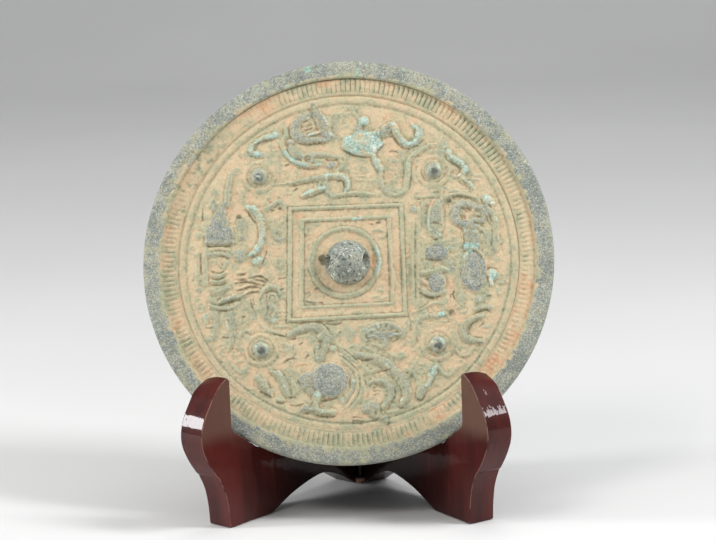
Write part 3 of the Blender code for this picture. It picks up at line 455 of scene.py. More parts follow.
def hooded_imp():
    """Left of the square, low down: a small hooded figure."""
    return [
        stroke([(-37.6, -15), (-36.6, -12.2), (-33.8, -10.8), (-30.8, -11.8), (-29.8, -14)],
               [2, 2.6, 2.8, 2.4, 1.4], 1.3, "sage"),
        mound(-32.8, -15.8, 2.3, 2.4, 1.2, 0, "line"),
        ring_arc(-32.9, -15.9, 1.2, -20, 200, 0.6, 1.6, "cut"),
        stroke([(-37, -15), (-36.9, -19), (-35.8, -23), (-34, -26.4)], [2.4, 2.8, 3, 2.2], 1.2, "moss"),
        stroke([(-33.4, -19), (-31.4, -21.6), (-32.4, -24.4)], [2.6, 2.4, 2], 1.1, "moss"),
        mound(-32, -26.2, 1.8, 1.3, 1.3, 0, "sage"),
        cut([(-38.4, -17), (-36.8, -14.2), (-33.4, -13), (-30.6, -13.6)], 0.6),
        cut([(-34.8, -19.6), (-35.6, -24)], 0.7),
        cut([(-29.6, -12.6), (-28.2, -11.4)], 0.8),
        stroke([(-27.6, -13), (-28.8, -14.8), (-27.6, -16)], 1, 0.6),
        stroke([(-36.4, -30.4), (-32, -31), (-27.8, -32.8)], [0.8, 1.2, 1], 0.7),
        cut([(-33, -31.8), (-29, -32.6), (-26, -33.4)], [0.6, 1, 0.7]),
        stroke([(-32, -28.8), (-27, -28.6)], [1, 1.4], 0.7),
    ] + bars(-30.2, -21.8, 0.1, -1.75, 4, 0, 4, 0.8, 0.6)


def hook_column():
    """Hooks and bars along the square's left side."""
    return [
        stroke([(-31.4, 19.6), (-31.4, 17.6), (-29.6, 17.2), (-29, 19)], 1, 0.8),
        stroke([(-29, 14), (-31.6, 14), (-32.6, 12.4), (-31.6, 10.6), (-29, 10.4), (-28.2, 11.8)],
               [1, 1.5, 1.3, 1.5, 1, 0.8], 0.9, "moss"),
        ring_arc(-30, -0.4, 1.7, 0, 330, 1.1, 0.8),
        stroke([(-27.6, -2), (-27.4, 2)], 0.8, 0.5),
        cut([(-30.2, -7.2), (-27.4, -7)], 0.8),
        stroke([(-30.6, -4.6), (-27.8, -4.4)], 1, 0.6),
    ] + bars(-33, 6.4, 0.3, -1.5, 4.8, 0, 3, 0.8, 0.6)


def crouching_bear():
    """Bottom left: a ribbed, crouching beast with smaller ones beside it."""
    ribs = [ring_arc(-9.2, -53.6, 11.8 + 2.2 * i, 24 - 5 * i, -50 + 2 * i, [0.9, 1.5, 1], 0.9, tint)
            for i, tint in enumerate(("moss", "earth", "line"))]
    grooves = [cut([(-17.6 + 0.3 * i, -51.2 - 1.5 * i), (-14, -51.3 - 1.5 * i)], 0.5) for i in range(4)]
    beads = [mound(-13.4 + 0.1 * i, -35 - 1.5 * i, 0.9, 0.65, 1.7, 0, "sage") for i in range(6)]
    return ribs + [
        mound(-7.4, -52.4, 8.4, 7.8, 2.0, -12, "metal"),
        stroke([(-15.4, -50), (-17, -54), (-15.4, -58)], [3, 4.6, 3], 1.3, "moss"),
        mound(-15.2, -52.8, 5.4, 4.4, 1.8, -8, "metal"),
        stroke([(-19.2, -50.4), (-19, -55.4)], [0.9, 1.2], 0.8),
        stroke([(-12.6, -59), (-13.6, -62.6), (-12.8, -65.4), (-9.6, -66.6), (-5.8, -66.6)],
               [4, 2.8, 3, 3.2, 2.6], 1.7, "sage"),
        mound(-10, -66.2, 1.8, 1, 1.9, 0, "crust"),
        cut([(-11, -61.6), (-7, -61), (-4, -60.2)], [1, 1.3, 0.8]),
        cut([(-13, -67.6), (-9, -68.6), (-4.6, -68.2)], [0.6, 0.9, 0.6]),
        stroke([(-19.4, -65.8), (-17.6, -64.6), (-14.8, -65.6)], [1.6, 2.4, 1.8], 1.3, "metal"),
        cut([(-19.2, -67.2), (-16.4, -66.8)], 0.8),
        stroke([(-32.8, -48.6), (-30, -50.2), (-27.8, -53.4), (-26.4, -57), (-25.4, -60)],
               [1.4, 3, 3.8, 3, 1.4], 1.4, "moss"),
        stroke([(-29.8, -48.4), (-28.4, -50.4)], 0.9, 1.7, "pale"),
        mound(-27.2, -55.2, 1.4, 2, 1.5, 20, "green"),
        stroke([(-39.6, -50.8), (-37.4, -53.6), (-35, -56.2), (-33.2, -59.2)],
               [2, 4.2, 4, 1.6], 1.4, "moss"),
        mound(-38, -52.6, 1.6, 1.3, 1.5, 0, "sage"),
        cut([(-37.6, -57.2), (-35.4, -58.4), (-33, -59.8)], 0.9),
        cut([(-34.4, -52.6), (-33.2, -56.2)], 0.7),
        stroke([(-24, -52.8), (-22.2, -56.6), (-22.8, -59.6)], [1.6, 2.4, 1.6], 0.9),
        cut([(-25.2, -60), (-22, -59.9)], 0.8),
        cut([(-21.4, -52.6), (-20.4, -54.4)], 0.8),
        mound(-28.8, -61.2, 2.3, 1.2, 0.9, -8, "line"),
        cut([(-30.8, -61.8), (-28.6, -62.4), (-26.8, -61.8)], 0.8),
        cut([(-24.6, -63.2), (-21.8, -63.6), (-18.6, -62.6)], [0.6, 0.9, 0.6]),
        stroke([(-26, -33.6), (-23.4, -31.2), (-19.8, -29.8), (-15.6, -29), (-12, -29.6), (-9.8, -32.2),
                (-9.4, -36), (-10.6, -40), (-12, -43.4)],
               [1.4, 3.2, 3.8, 3.8, 3.6, 3.4, 3.2, 3, 2.4], 1.5, "moss"),
        mound(-11.6, -33.2, 1.6, 1.8, 1.7, 0, "sage"),
        stroke([(-21.6, -33.4), (-16.4, -33), (-14.6, -36), (-15.2, -41)], [1.2, 1.4, 1.2, 1], 0.6),
        cut([(-22, -27.6), (-15, -26.9), (-10.4, -27.6), (-7.8, -31)], [0.4, 0.7, 0.7, 0.5]),
        cut([(-24.4, -34.4), (-22.6, -34)], 0.9),
        cut([(-21, -36.6), (-19.6, -35.8)], 0.9),
        cut([(-18, -42.4), (-17, -41.4)], 0.9),
        cut([(-27.8, -45.2), (-25.4, -43.2), (-22.8, -42.8)], [0.5, 0.9, 0.6]),
        stroke([(-28.8, -44.6), (-26.2, -42.4)], 0.9, 0.7, "earth"),
        stroke([(-22, -45.8), (-18, -45.2)], 0.9, 0.5, "rose"),
    ] + beads + grooves + bars(-27.2, -36.8, 1.2, -0.1, 0.1, -2.8, 5, 0.7, 0.6, "moss")


def mane_and_serpent():
    """Below the square and to the right: a mane's strands, winding serpents and smaller curls."""
    mane = [stroke([(-4 + 0.4 * i, -36.8 - 2 * i), (-0.4 + 0.4 * i, -39.4 - 2.1 * i),
                    (3.4 + 0.3 * i, -42.4 - 2.2 * i)], [0.8, 1.3, 0.9], 0.9, tint)
            for i, tint in enumerate(("line", "moss", "earth", "line"))]
    return mane + [
        cut([(-1.6, -38.6), (1.4, -41), (3.8, -43.4)], 0.6),
        cut([(-1.8, -42), (1.6, -45), (5, -48.8)], 0.6),
        cut([(-9.6, -27.3), (-6, -27.9), (-2.8, -27.4)], [0.6, 0.9, 0.6]),
        stroke([(-9, -26.4), (-3, -26.8)], 0.9, 0.6, "earth"),
        stroke([(-5.6, -33), (-4, -31.4), (-1.6, -30.4)], [0.9, 1.3, 0.9], 0.8),
        cut([(-4, -31.6), (-2.6, -31)], 0.9),
        stroke([(-0.6, -28.6), (1.6, -31.4), (1.4, -35.6)], [1.4, 1.8, 1.2], 0.8, "moss"),
        mound(-6.4, -38.4, 1.8, 1.6, 1.1, 30, "sage"),
        cut([(-7, -36.4), (-5.4, -36.8)], 0.7),
        mound(15, -31.4, 7.2, 3.6, 1.3, -3, "moss"),
        stroke([(8.4, -30.6), (12, -28.4), (17, -27.6), (21.4, -29), (24, -31.8), (22.8, -34.2)],
               [1.4, 1.8, 2, 2.2, 2.4, 1.6], 1.3, "moss"),
        cut([(12.4, -30.2), (16, -30.9), (20, -30.2)], 0.6),
        stroke([(8.8, -31.6), (10.6, -30.4), (12.4, -30.6)], [0.8, 1.2, 0.8], 1.7, "sage"),
        stroke([(12.6, -27.6), (13.8, -29.4)], [0.6, 1.0], 1.7, "frost"),
        stroke([(15.4, -27), (15.6, -29)], [0.6, 1.0], 1.7, "sage"),
        stroke([(18.4, -27.2), (17.8, -29.4)], [0.6, 1.0], 1.7, "sage"),
        stroke([(9.4, -33.4), (11.6, -33), (13.6, -34)], [0.8, 1.1, 0.8], 1.6, "crust"),
        stroke([(18.4, -33.6), (20.4, -32.4), (22.6, -32.6)], [0.8, 1.2, 0.8], 1.6, "crust"),
        cut([(10, -32.4), (11.6, -31.8)], 0.7),
        cut([(14.6, -28.4), (14.8, -30)], 0.5),
        cut([(17, -28.2), (16.8, -29.8)], 0.5),
        cut([(19.6, -31.4), (21.6, -31.4)], 0.6),
        mound(16.6, -33.2, 0.8, 1.1, 1.2, 0, "dark"),
        cut([(19.4, -35.8), (21.6, -34.6), (23.4, -33)], 0.8),
        ring_arc(9, -33.6, 2.1, 60, 330, 1.2, 1.0, "moss"),
        cut([(8.8, -35.6), (10.2, -35.2)], 0.9),
        stroke([(6.8, -37.6), (9.2, -39)], 1.2, 0.8, "moss"),
        stroke([(10.6, -36.8), (13.6, -37.6), (16.4, -38.6), (16.4, -35.6)],
               [1, 1.6, 2.4, 2.6], 1.1, "moss"),
        stroke([(17.6, -40.2), (20.4, -41.8), (23, -42.4), (25.4, -41.6)], [0.8, 1.4, 1.4, 1], 0.9),
        mound(24, -40.6, 1.3, 0.9, 1.1, 0, "sage"),
        stroke([(5.6, -28.6), (8, -28.4)], 0.9, 0.6),
        stroke([(4.8, -41.2), (9, -42.2), (13.4, -43.6), (17.4, -45.8), (20.8, -48.8), (23.6, -52.2),
                (25.6, -56.4), (25.8, -60.2), (24, -63.6)],
               [2.2, 3.6, 4.6, 4.6, 4, 3.8, 4, 3.6, 2], 1.6, "moss"),
        mound(17.2, -46.2, 2, 1.4, 1.9, -30, "green"),
        mound(24.4, -61.4, 1.2, 1.4, 1.7, -30, "pale"),
        cut([(6, -43.8), (9, -43.7), (11.4, -43.3)], [0.7, 1.1, 0.7]),
        cut([(11.6, -49.6), (15, -48.6), (19, -48)], [0.5, 0.8, 0.6]),
        stroke([(7.4, -46.6), (9.6, -48.8), (13.2, -47.8)], [1.6, 2, 1.4], 0.9),
        cut([(22.4, -64.8), (24.4, -64.4)], 0.7),
        stroke([(9.4, -53.8), (13, -52.8), (16.8, -53.6), (19.2, -56.8), (18.8, -60.8), (16, -64.2)],
               [1.2, 2.4, 3, 3, 3.2, 2.4], 1.6, "moss"),
        stroke([(18, -54.8), (19.8, -58), (18.8, -61.8)], [0.7, 1, 0.8], 1.8, "metal"),
        cut([(20.6, -56), (21, -59.4), (19.4, -62.6)], 0.6),
        stroke([(8, -65), (11.4, -64.8), (12.6, -67.6), (15, -69.8), (19, -70.6)],
               [3.4, 5.6, 4, 3, 1.8], 1.4, "moss"),
        mound(16.2, -69.4, 1.6, 1, 1.5, -10, "green"),
        cut([(12.4, -66.4), (13, -68)], 0.9),
        cut([(17.4, -72.4), (18.6, -71.4)], 0.8),
        stroke([(17.6, -66.6), (20.4, -66.2), (22.4, -65.6)], 1.2, 0.7),
        stroke([(7.2, -53.6), (7.9, -57), (8, -60)], [1, 1.4, 1], 0.7, "earth"),
        mound(2.8, -53, 1.1, 1.4, 1.3, 0, "sage"),
        stroke([(38.6, -46.6), (37.4, -49.6), (36, -52.6), (34.2, -55.4)],
               [1.6, 2.8, 2.6, 2.4], 1.5, "green"),
        stroke([(34.2, -55), (32.4, -57.4), (31.6, -60)], [3, 4, 2.6], 1.5, "moss"),
        stroke([(36.6, -51.6), (35.8, -54)], 1, 1.8, "pale"),
        cut([(30.4, -60.6), (32.2, -61.6), (34, -59.4)], 0.8),
        stroke([(29.8, -50.8), (31.4, -53), (31.2, -55.4)], [1.2, 2.2, 1.8], 0.9),
        mound(28, -50.8, 1, 1, 0.9, 0, "dark"),
        stroke([(25.8, -47.6), (28.6, -49)], 1, 0.7),
        cut([(25.6, -49), (27, -49.6)], 0.6),
        stroke([(31.8, -45.6), (33.8, -46)], 1, 0.5),
    ] + [cut([(11 + 0.3 * i, -56.2 - 1.5 * i), (13.4, -55.4 - 1.5 * i), (15, -56 - 1.5 * i)], 0.6)
         for i in range(3)] + [cut([(2.6, -68.6 - 1.5 * i), (7, -68.8 - 1.5 * i)], 0.6) for i in range(3)]


def mounted_figure():
    """Right: the mounted figure, the shapes round it and a row of small marks."""
    marks = [stroke([(44.6, 13.6 - 2.7 * i), (45.8, 12.8 - 2.7 * i), (47, 13.4 - 2.7 * i)],
                    0.8, 0.6, "line")
             for i in range(5)]
    return marks + [
        stroke([(38.8, 10.8), (38.2, 14), (38.3, 17.8), (38.4, 21.6), (39.2, 24.8)],
               [3.2, 5.2, 5.6, 5.6, 4], 1.2, "moss"),
        stroke([(36.2, 24.4), (35.4, 21), (35.2, 17), (35.8, 13)], [0.9, 1.1, 1.2, 1], 1.4, "sage"),
        cut([(37.4, 17.2), (39.4, 16.8), (41.2, 16)], [0.7, 1.2, 0.7]),
        stroke([(36.4, 13.8), (38.4, 13), (40.4, 11.4)], [0.9, 1.2, 0.9], 1.5, "frost"),
        stroke([(36, 12), (37.6, 11.4), (39, 10.2)], [0.7, 1.0, 0.7], 1.5, "frost"),
        stroke([(36.6, 15.6), (38.6, 15), (40.6, 13.6)], [0.6, 0.9, 0.6], 1.5, "sage"),
        mound(38.6, 21.6, 1.6, 1.7, 1.5, 0, "metal"),
        cut([(37.4, 9.6), (39.4, 9.8)], 0.7),
        cut([(42.6, 24), (42.2, 19), (42.6, 14)], [0.5, 0.6, 0.4]),
        stroke([(38.8, 25.2), (41, 27.6), (44.2, 29.2), (48, 29.8), (52, 29.4), (55.4, 28.2),
                (57.8, 26.2)], [3.4, 2.4, 1.7, 1.3, 1.3, 1.2, 1], 1.2, "moss"),
        stroke([(45.2, 29.8), (48, 30.2)], 0.8, 1.4, "light"),
        cut([(45.6, 28.6), (50, 28.7), (54, 27.8)], [0.6, 0.8, 0.5]),
        mound(44.2, 27.2, 1.4, 1.2, 1.1, 0, "dark"),
        stroke([(44.6, 31.6), (47.6, 31.4), (51.4, 31)], [0.8, 1.2, 0.8], 0.7, "sage"),
        stroke([(50.8, 16.6), (47.9, 18.2), (47, 21.6), (48.9, 24.6), (52.6, 25.4), (55.8, 23.8)],
               [3, 4.4, 4.8, 4.4, 3.4, 2.4], 1.6, "metal"),
        stroke([(48, 24.8), (50.6, 25.9)], 0.9, 1.8, "pale"),
        ring_arc(57.2, 20.8, 2.9, 100, -120, [2.4, 3.4, 2.8], 1.3, "metal"),
        stroke([(50.2, 22.6), (52.2, 20.6), (52, 18.4)], [1.2, 1.5, 1.2], 1.0, "earth"),
        stroke([(53.4, 20.4), (54.6, 22.4)], 1.3, 0.9, "rose"),
        cut([(50, 23.4), (51.8, 21.6)], 0.8),
        cut([(52, 24), (54.2, 21.8)], 0.7),
        cut([(49.2, 20.4), (50, 18.2)], 0.9),
        cut([(56.4, 19.8), (58, 19.6)], 0.9),
        stroke([(51.8, 18.2), (55, 18.4)], [1, 1.2], 1.0, "line"),
        cut([(55, 17), (57.4, 16.7), (59, 16.7)], 0.7),
        stroke([(50.6, 15.8), (53.6, 15), (56.6, 15.4)], [2.4, 3, 2], 1.5, "metal"),
        stroke([(53.4, 15), (53.6, 11.6), (54.0, 7.4)], [6, 8, 7.4], 1.6, "teal"),
        stroke([(51.2, 13.2), (54, 12.4), (56.6, 12.8)], [0.8, 1.2, 0.8], 1.9, "sage"),
        mound(53.1, 12.7, 1.3, 0.9, 1.9, -10, "dark"),
        stroke([(50.8, 11), (52.4, 8.8), (55.2, 8.6)], [1, 1.4, 1.6], 1.8, "moss"),
        cut([(49.8, 14.6), (50.6, 11), (50.8, 7.6)], 0.6),
        stroke([(57.6, 14.6), (59.4, 12.4), (58.6, 9)], [1.6, 2.4, 1.6], 1.0, "sage"),
        cut([(58.2, 13), (59.8, 11.2)], 0.6),
        stroke([(60.2, 24.6), (62.4, 21.8), (64.2, 18.6), (64.7, 13), (64.1, 8.8), (64.6, 5)],
               [1.6, 2, 2.4, 2, 2.4, 1.6], 1.2, "moss"),
        mound(64.4, 18.4, 1, 1.5, 1.5, 0, "green"),
        mound(64, 9, 1.2, 1.7, 1.3, 0, "metal"),
        stroke([(61.4, 14), (61.8, 10.4), (61.2, 7)], [1.6, 2.2, 1.4], 0.9, "sage"),
        cut([(60.4, 20), (61.4, 17.6), (62.2, 16.4)], 0.7),
        mound(61, 27.3, 2.5, 2.1, 1.6, -20, "green"),
        mound(63.1, 25.6, 1.2, 1.1, 1.4, 0, "light"),
        stroke([(52, 5.4), (54.6, 5.4), (57.4, 3.8), (59.4, 1)], [1, 1.5, 1.5, 1], 1.9, "moss"),
        cut([(54.8, 4.7), (57.2, 3.2), (58.6, 1)], 0.8),
        mound(54.9, -4.6, 5.9, 9.4, 1.8, 0, "metal"),
        stroke([(51.8, 3), (51.4, -2), (51.2, -8)], [2.4, 2.4, 2], 1.4, "sage"),
        mound(53, -1.6, 0.9, 0.7, 2.0, 30, "crust"),
        mound(57, -10.6, 1.3, 0.8, 1.8, 40, "crust"),
        stroke([(51.6, -4), (52.6, -8), (54.6, -11.4)], [0.6, 0.9, 0.6], 1.9, "sage"),
        stroke([(56.8, 0.4), (58, -3), (57.8, -7)], [0.5, 0.8, 0.5], -0.2, "groove"),
        mound(62.9, -6.2, 2.3, 2.6, 1.6, 0, "green"),
        stroke([(62.6, -8), (62.9, -10.8)], [2.6, 1], 1.5, "pale"),
        stroke([(60.6, -1.4), (64, -1)], 1, 0.7, "earth"),
        cut([(60.6, -3.6), (62.4, -3.2), (65.4, -3.8)], 0.6),
        mound(38.6, 4.0, 5.3, 3.9, 1.6, -4, "metal"),
        stroke([(35.4, 6.2), (38.2, 7.2), (41.2, 6.4)], [0.6, 1.0, 0.6], 1.5, "dark"),
        stroke([(41.6, 0.4), (44, -0.6), (45.2, -2.8)], [3, 3.4, 2.6], 1.0, "moss"),
        cut([(34, 0.9), (39, 0.4), (43.6, 1.2)], [0.5, 0.9, 0.5]),
        mound(38.8, -9.2, 3.8, 5.2, 1.5, 8, "metal"),
        stroke([(32.4, -5.4), (35.4, -4.8), (38.4, -4.4), (41.4, -3.4), (44, -4)],
               [1.8, 2.4, 3, 2.8, 1.4], 1.3, "sage"),
        mound(35.3, -7.9, 1.1, 0.9, 1.0, 0, "dark"),
        stroke([(32.6, -8.6), (34.6, -10)], 1.6, 1.1, "rose"),
        stroke([(30.6, -12.4), (34, -14.4), (38.6, -15.2), (42.2, -13.2)],
               [1.4, 2.8, 2.8, 2], 1.2, "moss"),
        cut([(31.4, -14), (36, -16.4), (40.6, -15.8)], [0.5, 0.9, 0.6]),
        mound(41.2, -11.8, 1.2, 0.8, 1.4, 30, "sage"),
        cut([(30.4, -11.6), (32.4, -13)], 0.7),
        stroke([(48.2, -1), (48, -6), (48.6, -11), (49.4, -15.4)], [1.4, 1.6, 1.6, 2], 0.9),
        stroke([(49.4, -15.4), (49.2, -18), (48.8, -20.4)], [2.2, 3.2, 2], 1.1, "sage"),
        cut([(46.6, -13), (46, -15), (46.8, -17)], 0.8),
        cut([(44.8, -14.6), (45, -16.4)], 0.7),
        stroke([(38.6, -18.6), (42, -19)], 1, 0.6),
        stroke([(44.4, -8.4), (45, -11)], [1.2, 1.6], 0.7, "rose"),
        stroke([(60, -15.4), (62.4, -16)], 1, 0.6),
        cut([(61, -15.6), (62.6, -15.4)], 0.7),
        stroke([(65, -12), (65.6, -14.6)], [1.4, 1.8], 0.7),
    ]


def serpent_and_line():
    """Bottom right: a looped serpent; beside the square: straight lines and short strokes."""
    return [
        stroke([(57.8, -24.6), (54, -26), (51.4, -28.4), (50.3, -31.2), (51, -33.8), (54, -35.2),
                (58.6, -35.6)], [2.2, 2.8, 3, 3, 3, 3.2, 2.2], 1.5, "moss"),
        stroke([(54.4, -25.2), (51.6, -27.6), (50.2, -30.6)], [1.2, 1.6, 1.4], 1.7, "green"),
        cut([(55.4, -33.6), (58.4, -34.2), (59.4, -35.2)], 0.7),
        cut([(57, -26.6), (54, -28.2), (53, -31), (53.6, -33)], [0.4, 0.7, 0.5]),
        stroke([(55.4, -22), (58.4, -20.8), (62, -21)], [1.6, 3, 2.6], 1.0, "moss"),
        cut([(54.4, -23.8), (57, -22.7), (60.2, -22), (62.2, -22.6)], [0.6, 1, 0.9, 0.6]),
        mound(57.2, -17.3, 2.1, 1.8, 1.2, 0, "moss"),
        mound(57.6, -17.4, 0.9, 0.8, 1.4, 0, "light"),
        cut([(57.4, -29.4), (59.4, -27.4)], 0.6),
        stroke([(29.6, -22.2), (32.6, -20.8), (35.4, -19.2), (38.6, -18.2)],
               [1, 1.5, 1.4, 0.8], 0.9, "earth"),
        cut([(30, -21.4), (32.8, -20.2), (35.4, -18.4)], [0.6, 0.9, 0.6]),
        stroke([(30.6, -27.6), (32.2, -25.2), (35.4, -24.4), (38.6, -24.6)],
               [1.2, 2, 2.2, 2], 1.0, "moss"),
        cut([(35.4, -23.6), (35.6, -25.2)], 0.6),
        cut([(37, -23.6), (37.2, -25.2)], 0.6),
        mound(41, -23.7, 1.6, 1.3, 1.2, 0, "green"),
        mound(45.3, -22.5, 1.5, 1.3, 1.0, 0, "dark"),
        stroke([(30.8, -26), (30, -30), (29.8, -33.8), (28.2, -37)], [1.4, 1.7, 1.6, 1], 0.9, "moss"),
        cut([(30.6, -35.4), (30, -33.6)], 0.8),
        cut([(26.8, -24.6), (27.7, -28), (27.4, -31)], [0.5, 0.7, 0.7]),
        stroke([(26, -26), (25.6, -30)], 0.9, 0.6),
        stroke([(28.3, 18), (28, 0), (28.6, -18)], 1.2, 0.7),
        stroke([(31, 24), (31, 10), (30.6, -6), (30.9, -18)], [1.4, 1, 0.9, 0.9], 0.7),
        cut([(29.5, 18), (29.3, 0), (29.8, -16)], 0.5),
        stroke([(33.6, 25.4), (33.6, 21.6), (33.2, 17.4)], [2.8, 2.2, 1], 1.0, "moss"),
        cut([(34.3, 25.2), (34.2, 21)], 0.7),
        mound(28.4, 23.2, 2, 1.8, 0.8, 0, "moss"),
        stroke([(29.2, 31), (31.6, 31)], 1, 0.6),
        stroke([(29.6, 28.8), (33, 28.8), (38, 29.4)], [1.3, 1.2, 0.9], 0.7),
        cut([(30, 27.8), (34, 28.2), (38.4, 28.5)], 0.5),
        cut([(37.4, 30.8), (39.4, 31.2)], 0.9),
        stroke([(36.8, 31.2), (38, 28.6)], 0.7, 0.7, "light"),
    ]


def corner_ornaments():
    """Small ornaments inside the square."""
    return [
        ring_arc(-16.6, -15.6, 1.9, 0, 300, 1.0, 0.7),
        cut([(-18.2, -17.6), (-15, -18.2), (-11, -18)], 0.7),
        cut([(-18.4, -14.2), (-16.8, -13.2)], 0.8),
        stroke([(-14.2, -12), (-13, -11.2)], 1.2, 0.6, "dark"),
        stroke([(11.4, 13.6), (13, 14.3), (14.8, 13.8)], 1, 0.8),
        ring_arc(14.6, 12.8, 2.2, 20, -120, 0.9, 0.7),
        cut([(9.4, 16.9), (10.8, 16.7)], 0.9),
        cut([(12.2, 17.4), (14, 17.6)], 0.9),
        ring_arc(-17.2, 14, 1.7, 100, 280, 1.0, 0.7),
        stroke([(-17.6, 17.4), (-13, 16.6)], 0.9, 0.5),
        stroke([(10.4, -15.8), (13, -15.4)], [0.8, 1.4], 0.7),
        stroke([(14.2, -16.6), (17, -15.8)], [0.8, 1.2], 0.7),
        stroke([(13.4, -12.8), (15.4, -13)], [1, 1.4], 0.7),
        stroke([(4.2, -22.8), (6.6, -22.8)], 1, 0.5),
        stroke([(2, 19.2), (5.4, 19.6)], [1.4, 1.4], 1.1, "green"),
        mound(4.2, 19.9, 0.9, 0.6, 1.2, 0, "dark"),
        stroke([(4.4, 23.8), (8.6, 23.8)], 1, 0.7, "sage"),
    ]


def uneven_square(corners, width, height, tint="line"):
    """Four strokes between the corners of a square drawn by hand."""
    lines = []
    for p, q in zip(corners, corners[1:] + corners[:1]):
        lines.append(stroke([p, q], width, height, tint))
    return lines


def square_frames():
    """The two nested squares, with thin lines cut beside them."""
    outer, inner = SQUARE_OUTER_CORNERS, SQUARE_INNER_CORNERS
    found = uneven_square(outer, 1.5, 0.95) + uneven_square(inner, 1.3, 0.85)
    for corners, grow in ((outer, 1.045), (outer, 0.955), (inner, 0.945)):
        grown = [(x * grow, y * grow) for x, y in corners]
        found += [cut([p, q], 0.55, 0.16) for p, q in zip(grown, grown[1:] + grown[:1])]
    return found


def collar():
    """The ring round the knob, with its bright and its worn stretches."""
    return [
        ring_arc(*COLLAR_CENTRE, COLLAR_RADIUS, 0, 360, 2.0, 0.9, "line"),
        ring_arc(*COLLAR_CENTRE, COLLAR_RADIUS, -24, 27, 1.9, 1.3, "green"),
        ring_arc(*COLLAR_CENTRE, COLLAR_RADIUS - 0.3, 160, 200, 2.2, 1.1, "moss"),
        ring_arc(*COLLAR_CENTRE, COLLAR_RADIUS + 1.4, 190, 340, 0.6, -0.25, "cut"),
        ring_arc(*COLLAR_CENTRE, COLLAR_RADIUS + 1.4, 20, 160, 0.5, -0.2, "cut"),
        ring_arc(*COLLAR_CENTRE, COLLAR_RADIUS - 1.5, 200, 330, 0.5, -0.15, "cut"),
        # a shallow hollow at the knob's left foot, painted dark as the shade in the cord hole's mouth
        mound(-11.2, 1.0, 2.1, 3.0, -0.75, 6, "dark"),
        mound(10.9, 0.0, 1.1, 3.8, -0.6, 0, "rose"),
    ]


def nipples():
    """Four studs, each in a worn ring, with a pit on top and small spots of crust; a pale arc on each
    stud's upper right is a painted highlight, and a dark groove round the lower side of each ring is
    partly painted shadow.
    """
    chance = np.random.default_rng(17)
    found = []
    for x, y in NIPPLES:
        found.append(mound(x, y, 5.0, 5.0, 0.9, 0, "film_and_painted_reflection"))
        found.append(mound(x, y, NIPPLE_RADIUS + 0.2, NIPPLE_RADIUS + 0.1, 3.0, 0, "stud"))
        found.append(mound(x + 0.3, y - 0.9, 2.2, 2.0, -0.12, 0, "pit"))
        # painted highlight: a pale arc on the stud's upper right
        found.append(ring_arc(x + 0.1, y, NIPPLE_RADIUS - 1.0, -10, 80, [0.4, 1.1, 0.4], -0.02, "frost"))
        for _ in range(SPOTS_ON_NIPPLE):
            turn, out = chance.uniform(0, 2 * math.pi), chance.uniform(0.4, 3.4)
            size, tint = chance.uniform(0.3, 0.75), ("pit", "frost", "light", "green")[chance.integers(4)]
            found.append(mound(x + out * math.cos(turn), y + out * math.sin(turn), size, 0.7 * size,
                               -0.1, math.degrees(turn), tint))
        found.append(ring_arc(x, y, 6.5, 0, 360, 1.5, 0.5, "earth"))
        found.append(ring_arc(x, y, 6.6, 250, 380, 0.8, 0.75, "film_and_painted_reflection"))
        # a dark groove round the ring's lower side, partly painted shadow
        found.append(ring_arc(x, y, 7.9, 190, 350, 0.7, -0.15, "groove"))
    return found


def bent_line(x, y, far, bend, along, widths, rise, tint):
    """A short line through a point, bowed to one side."""
    c, d = math.cos(along), math.sin(along)
    return stroke([(x - far * c, y - far * d), (x - bend * d, y + bend * c),
                   (x + far * c, y + far * d)], widths, rise, tint)


def ground_scrolls():
    """Worn curls, commas, dashes and lines in bundles that fill the ground between the figures."""
    chance = np.random.default_rng(41)
    found = []
    for _ in range(SCROLLS):
        turn, out = chance.uniform(0, 2 * math.pi), SCROLLS_RADIUS * math.sqrt(chance.uniform(0.12, 1.0))
        x, y = out * math.cos(turn), out * math.sin(turn)
        kind, lean = chance.uniform(), chance.uniform(0, 360)
        rise, size = chance.uniform(0.3, 0.65), chance.uniform(0.8, 2.0)
        tint = ("line", "film_and_painted_reflection", "film_and_painted_reflection", "moss", "sage")[chance.integers(5)]
        if max(abs(x), abs(y)) < SCROLLS_INNER:
            continue
        along = math.radians(lean)
        if kind < 0.42:
            found.append(ring_arc(x, y, size, lean, lean + chance.uniform(170, 320),
                                  [0.5, 0.85, 0.6], rise, tint))
        elif kind < 0.72:
            bend = chance.uniform(-1.2, 1.2)
            found.append(bent_line(x, y, 1.3 * size + 0.6, bend, along, [0.4, 1.0, 0.4], rise, tint))
        elif kind < 0.9:
            bend = chance.uniform(-1.0, 1.0)
            for k in range(3):
                px, py = x - 1.15 * k * math.sin(along), y + 1.15 * k * math.cos(along)
                found.append(bent_line(px, py, 1.2 * size + 0.9, bend, along, 0.6, 0.8 * rise, tint))
        else:
            found.append(mound(x, y, 0.8, 0.6, rise, lean, tint))
    return found


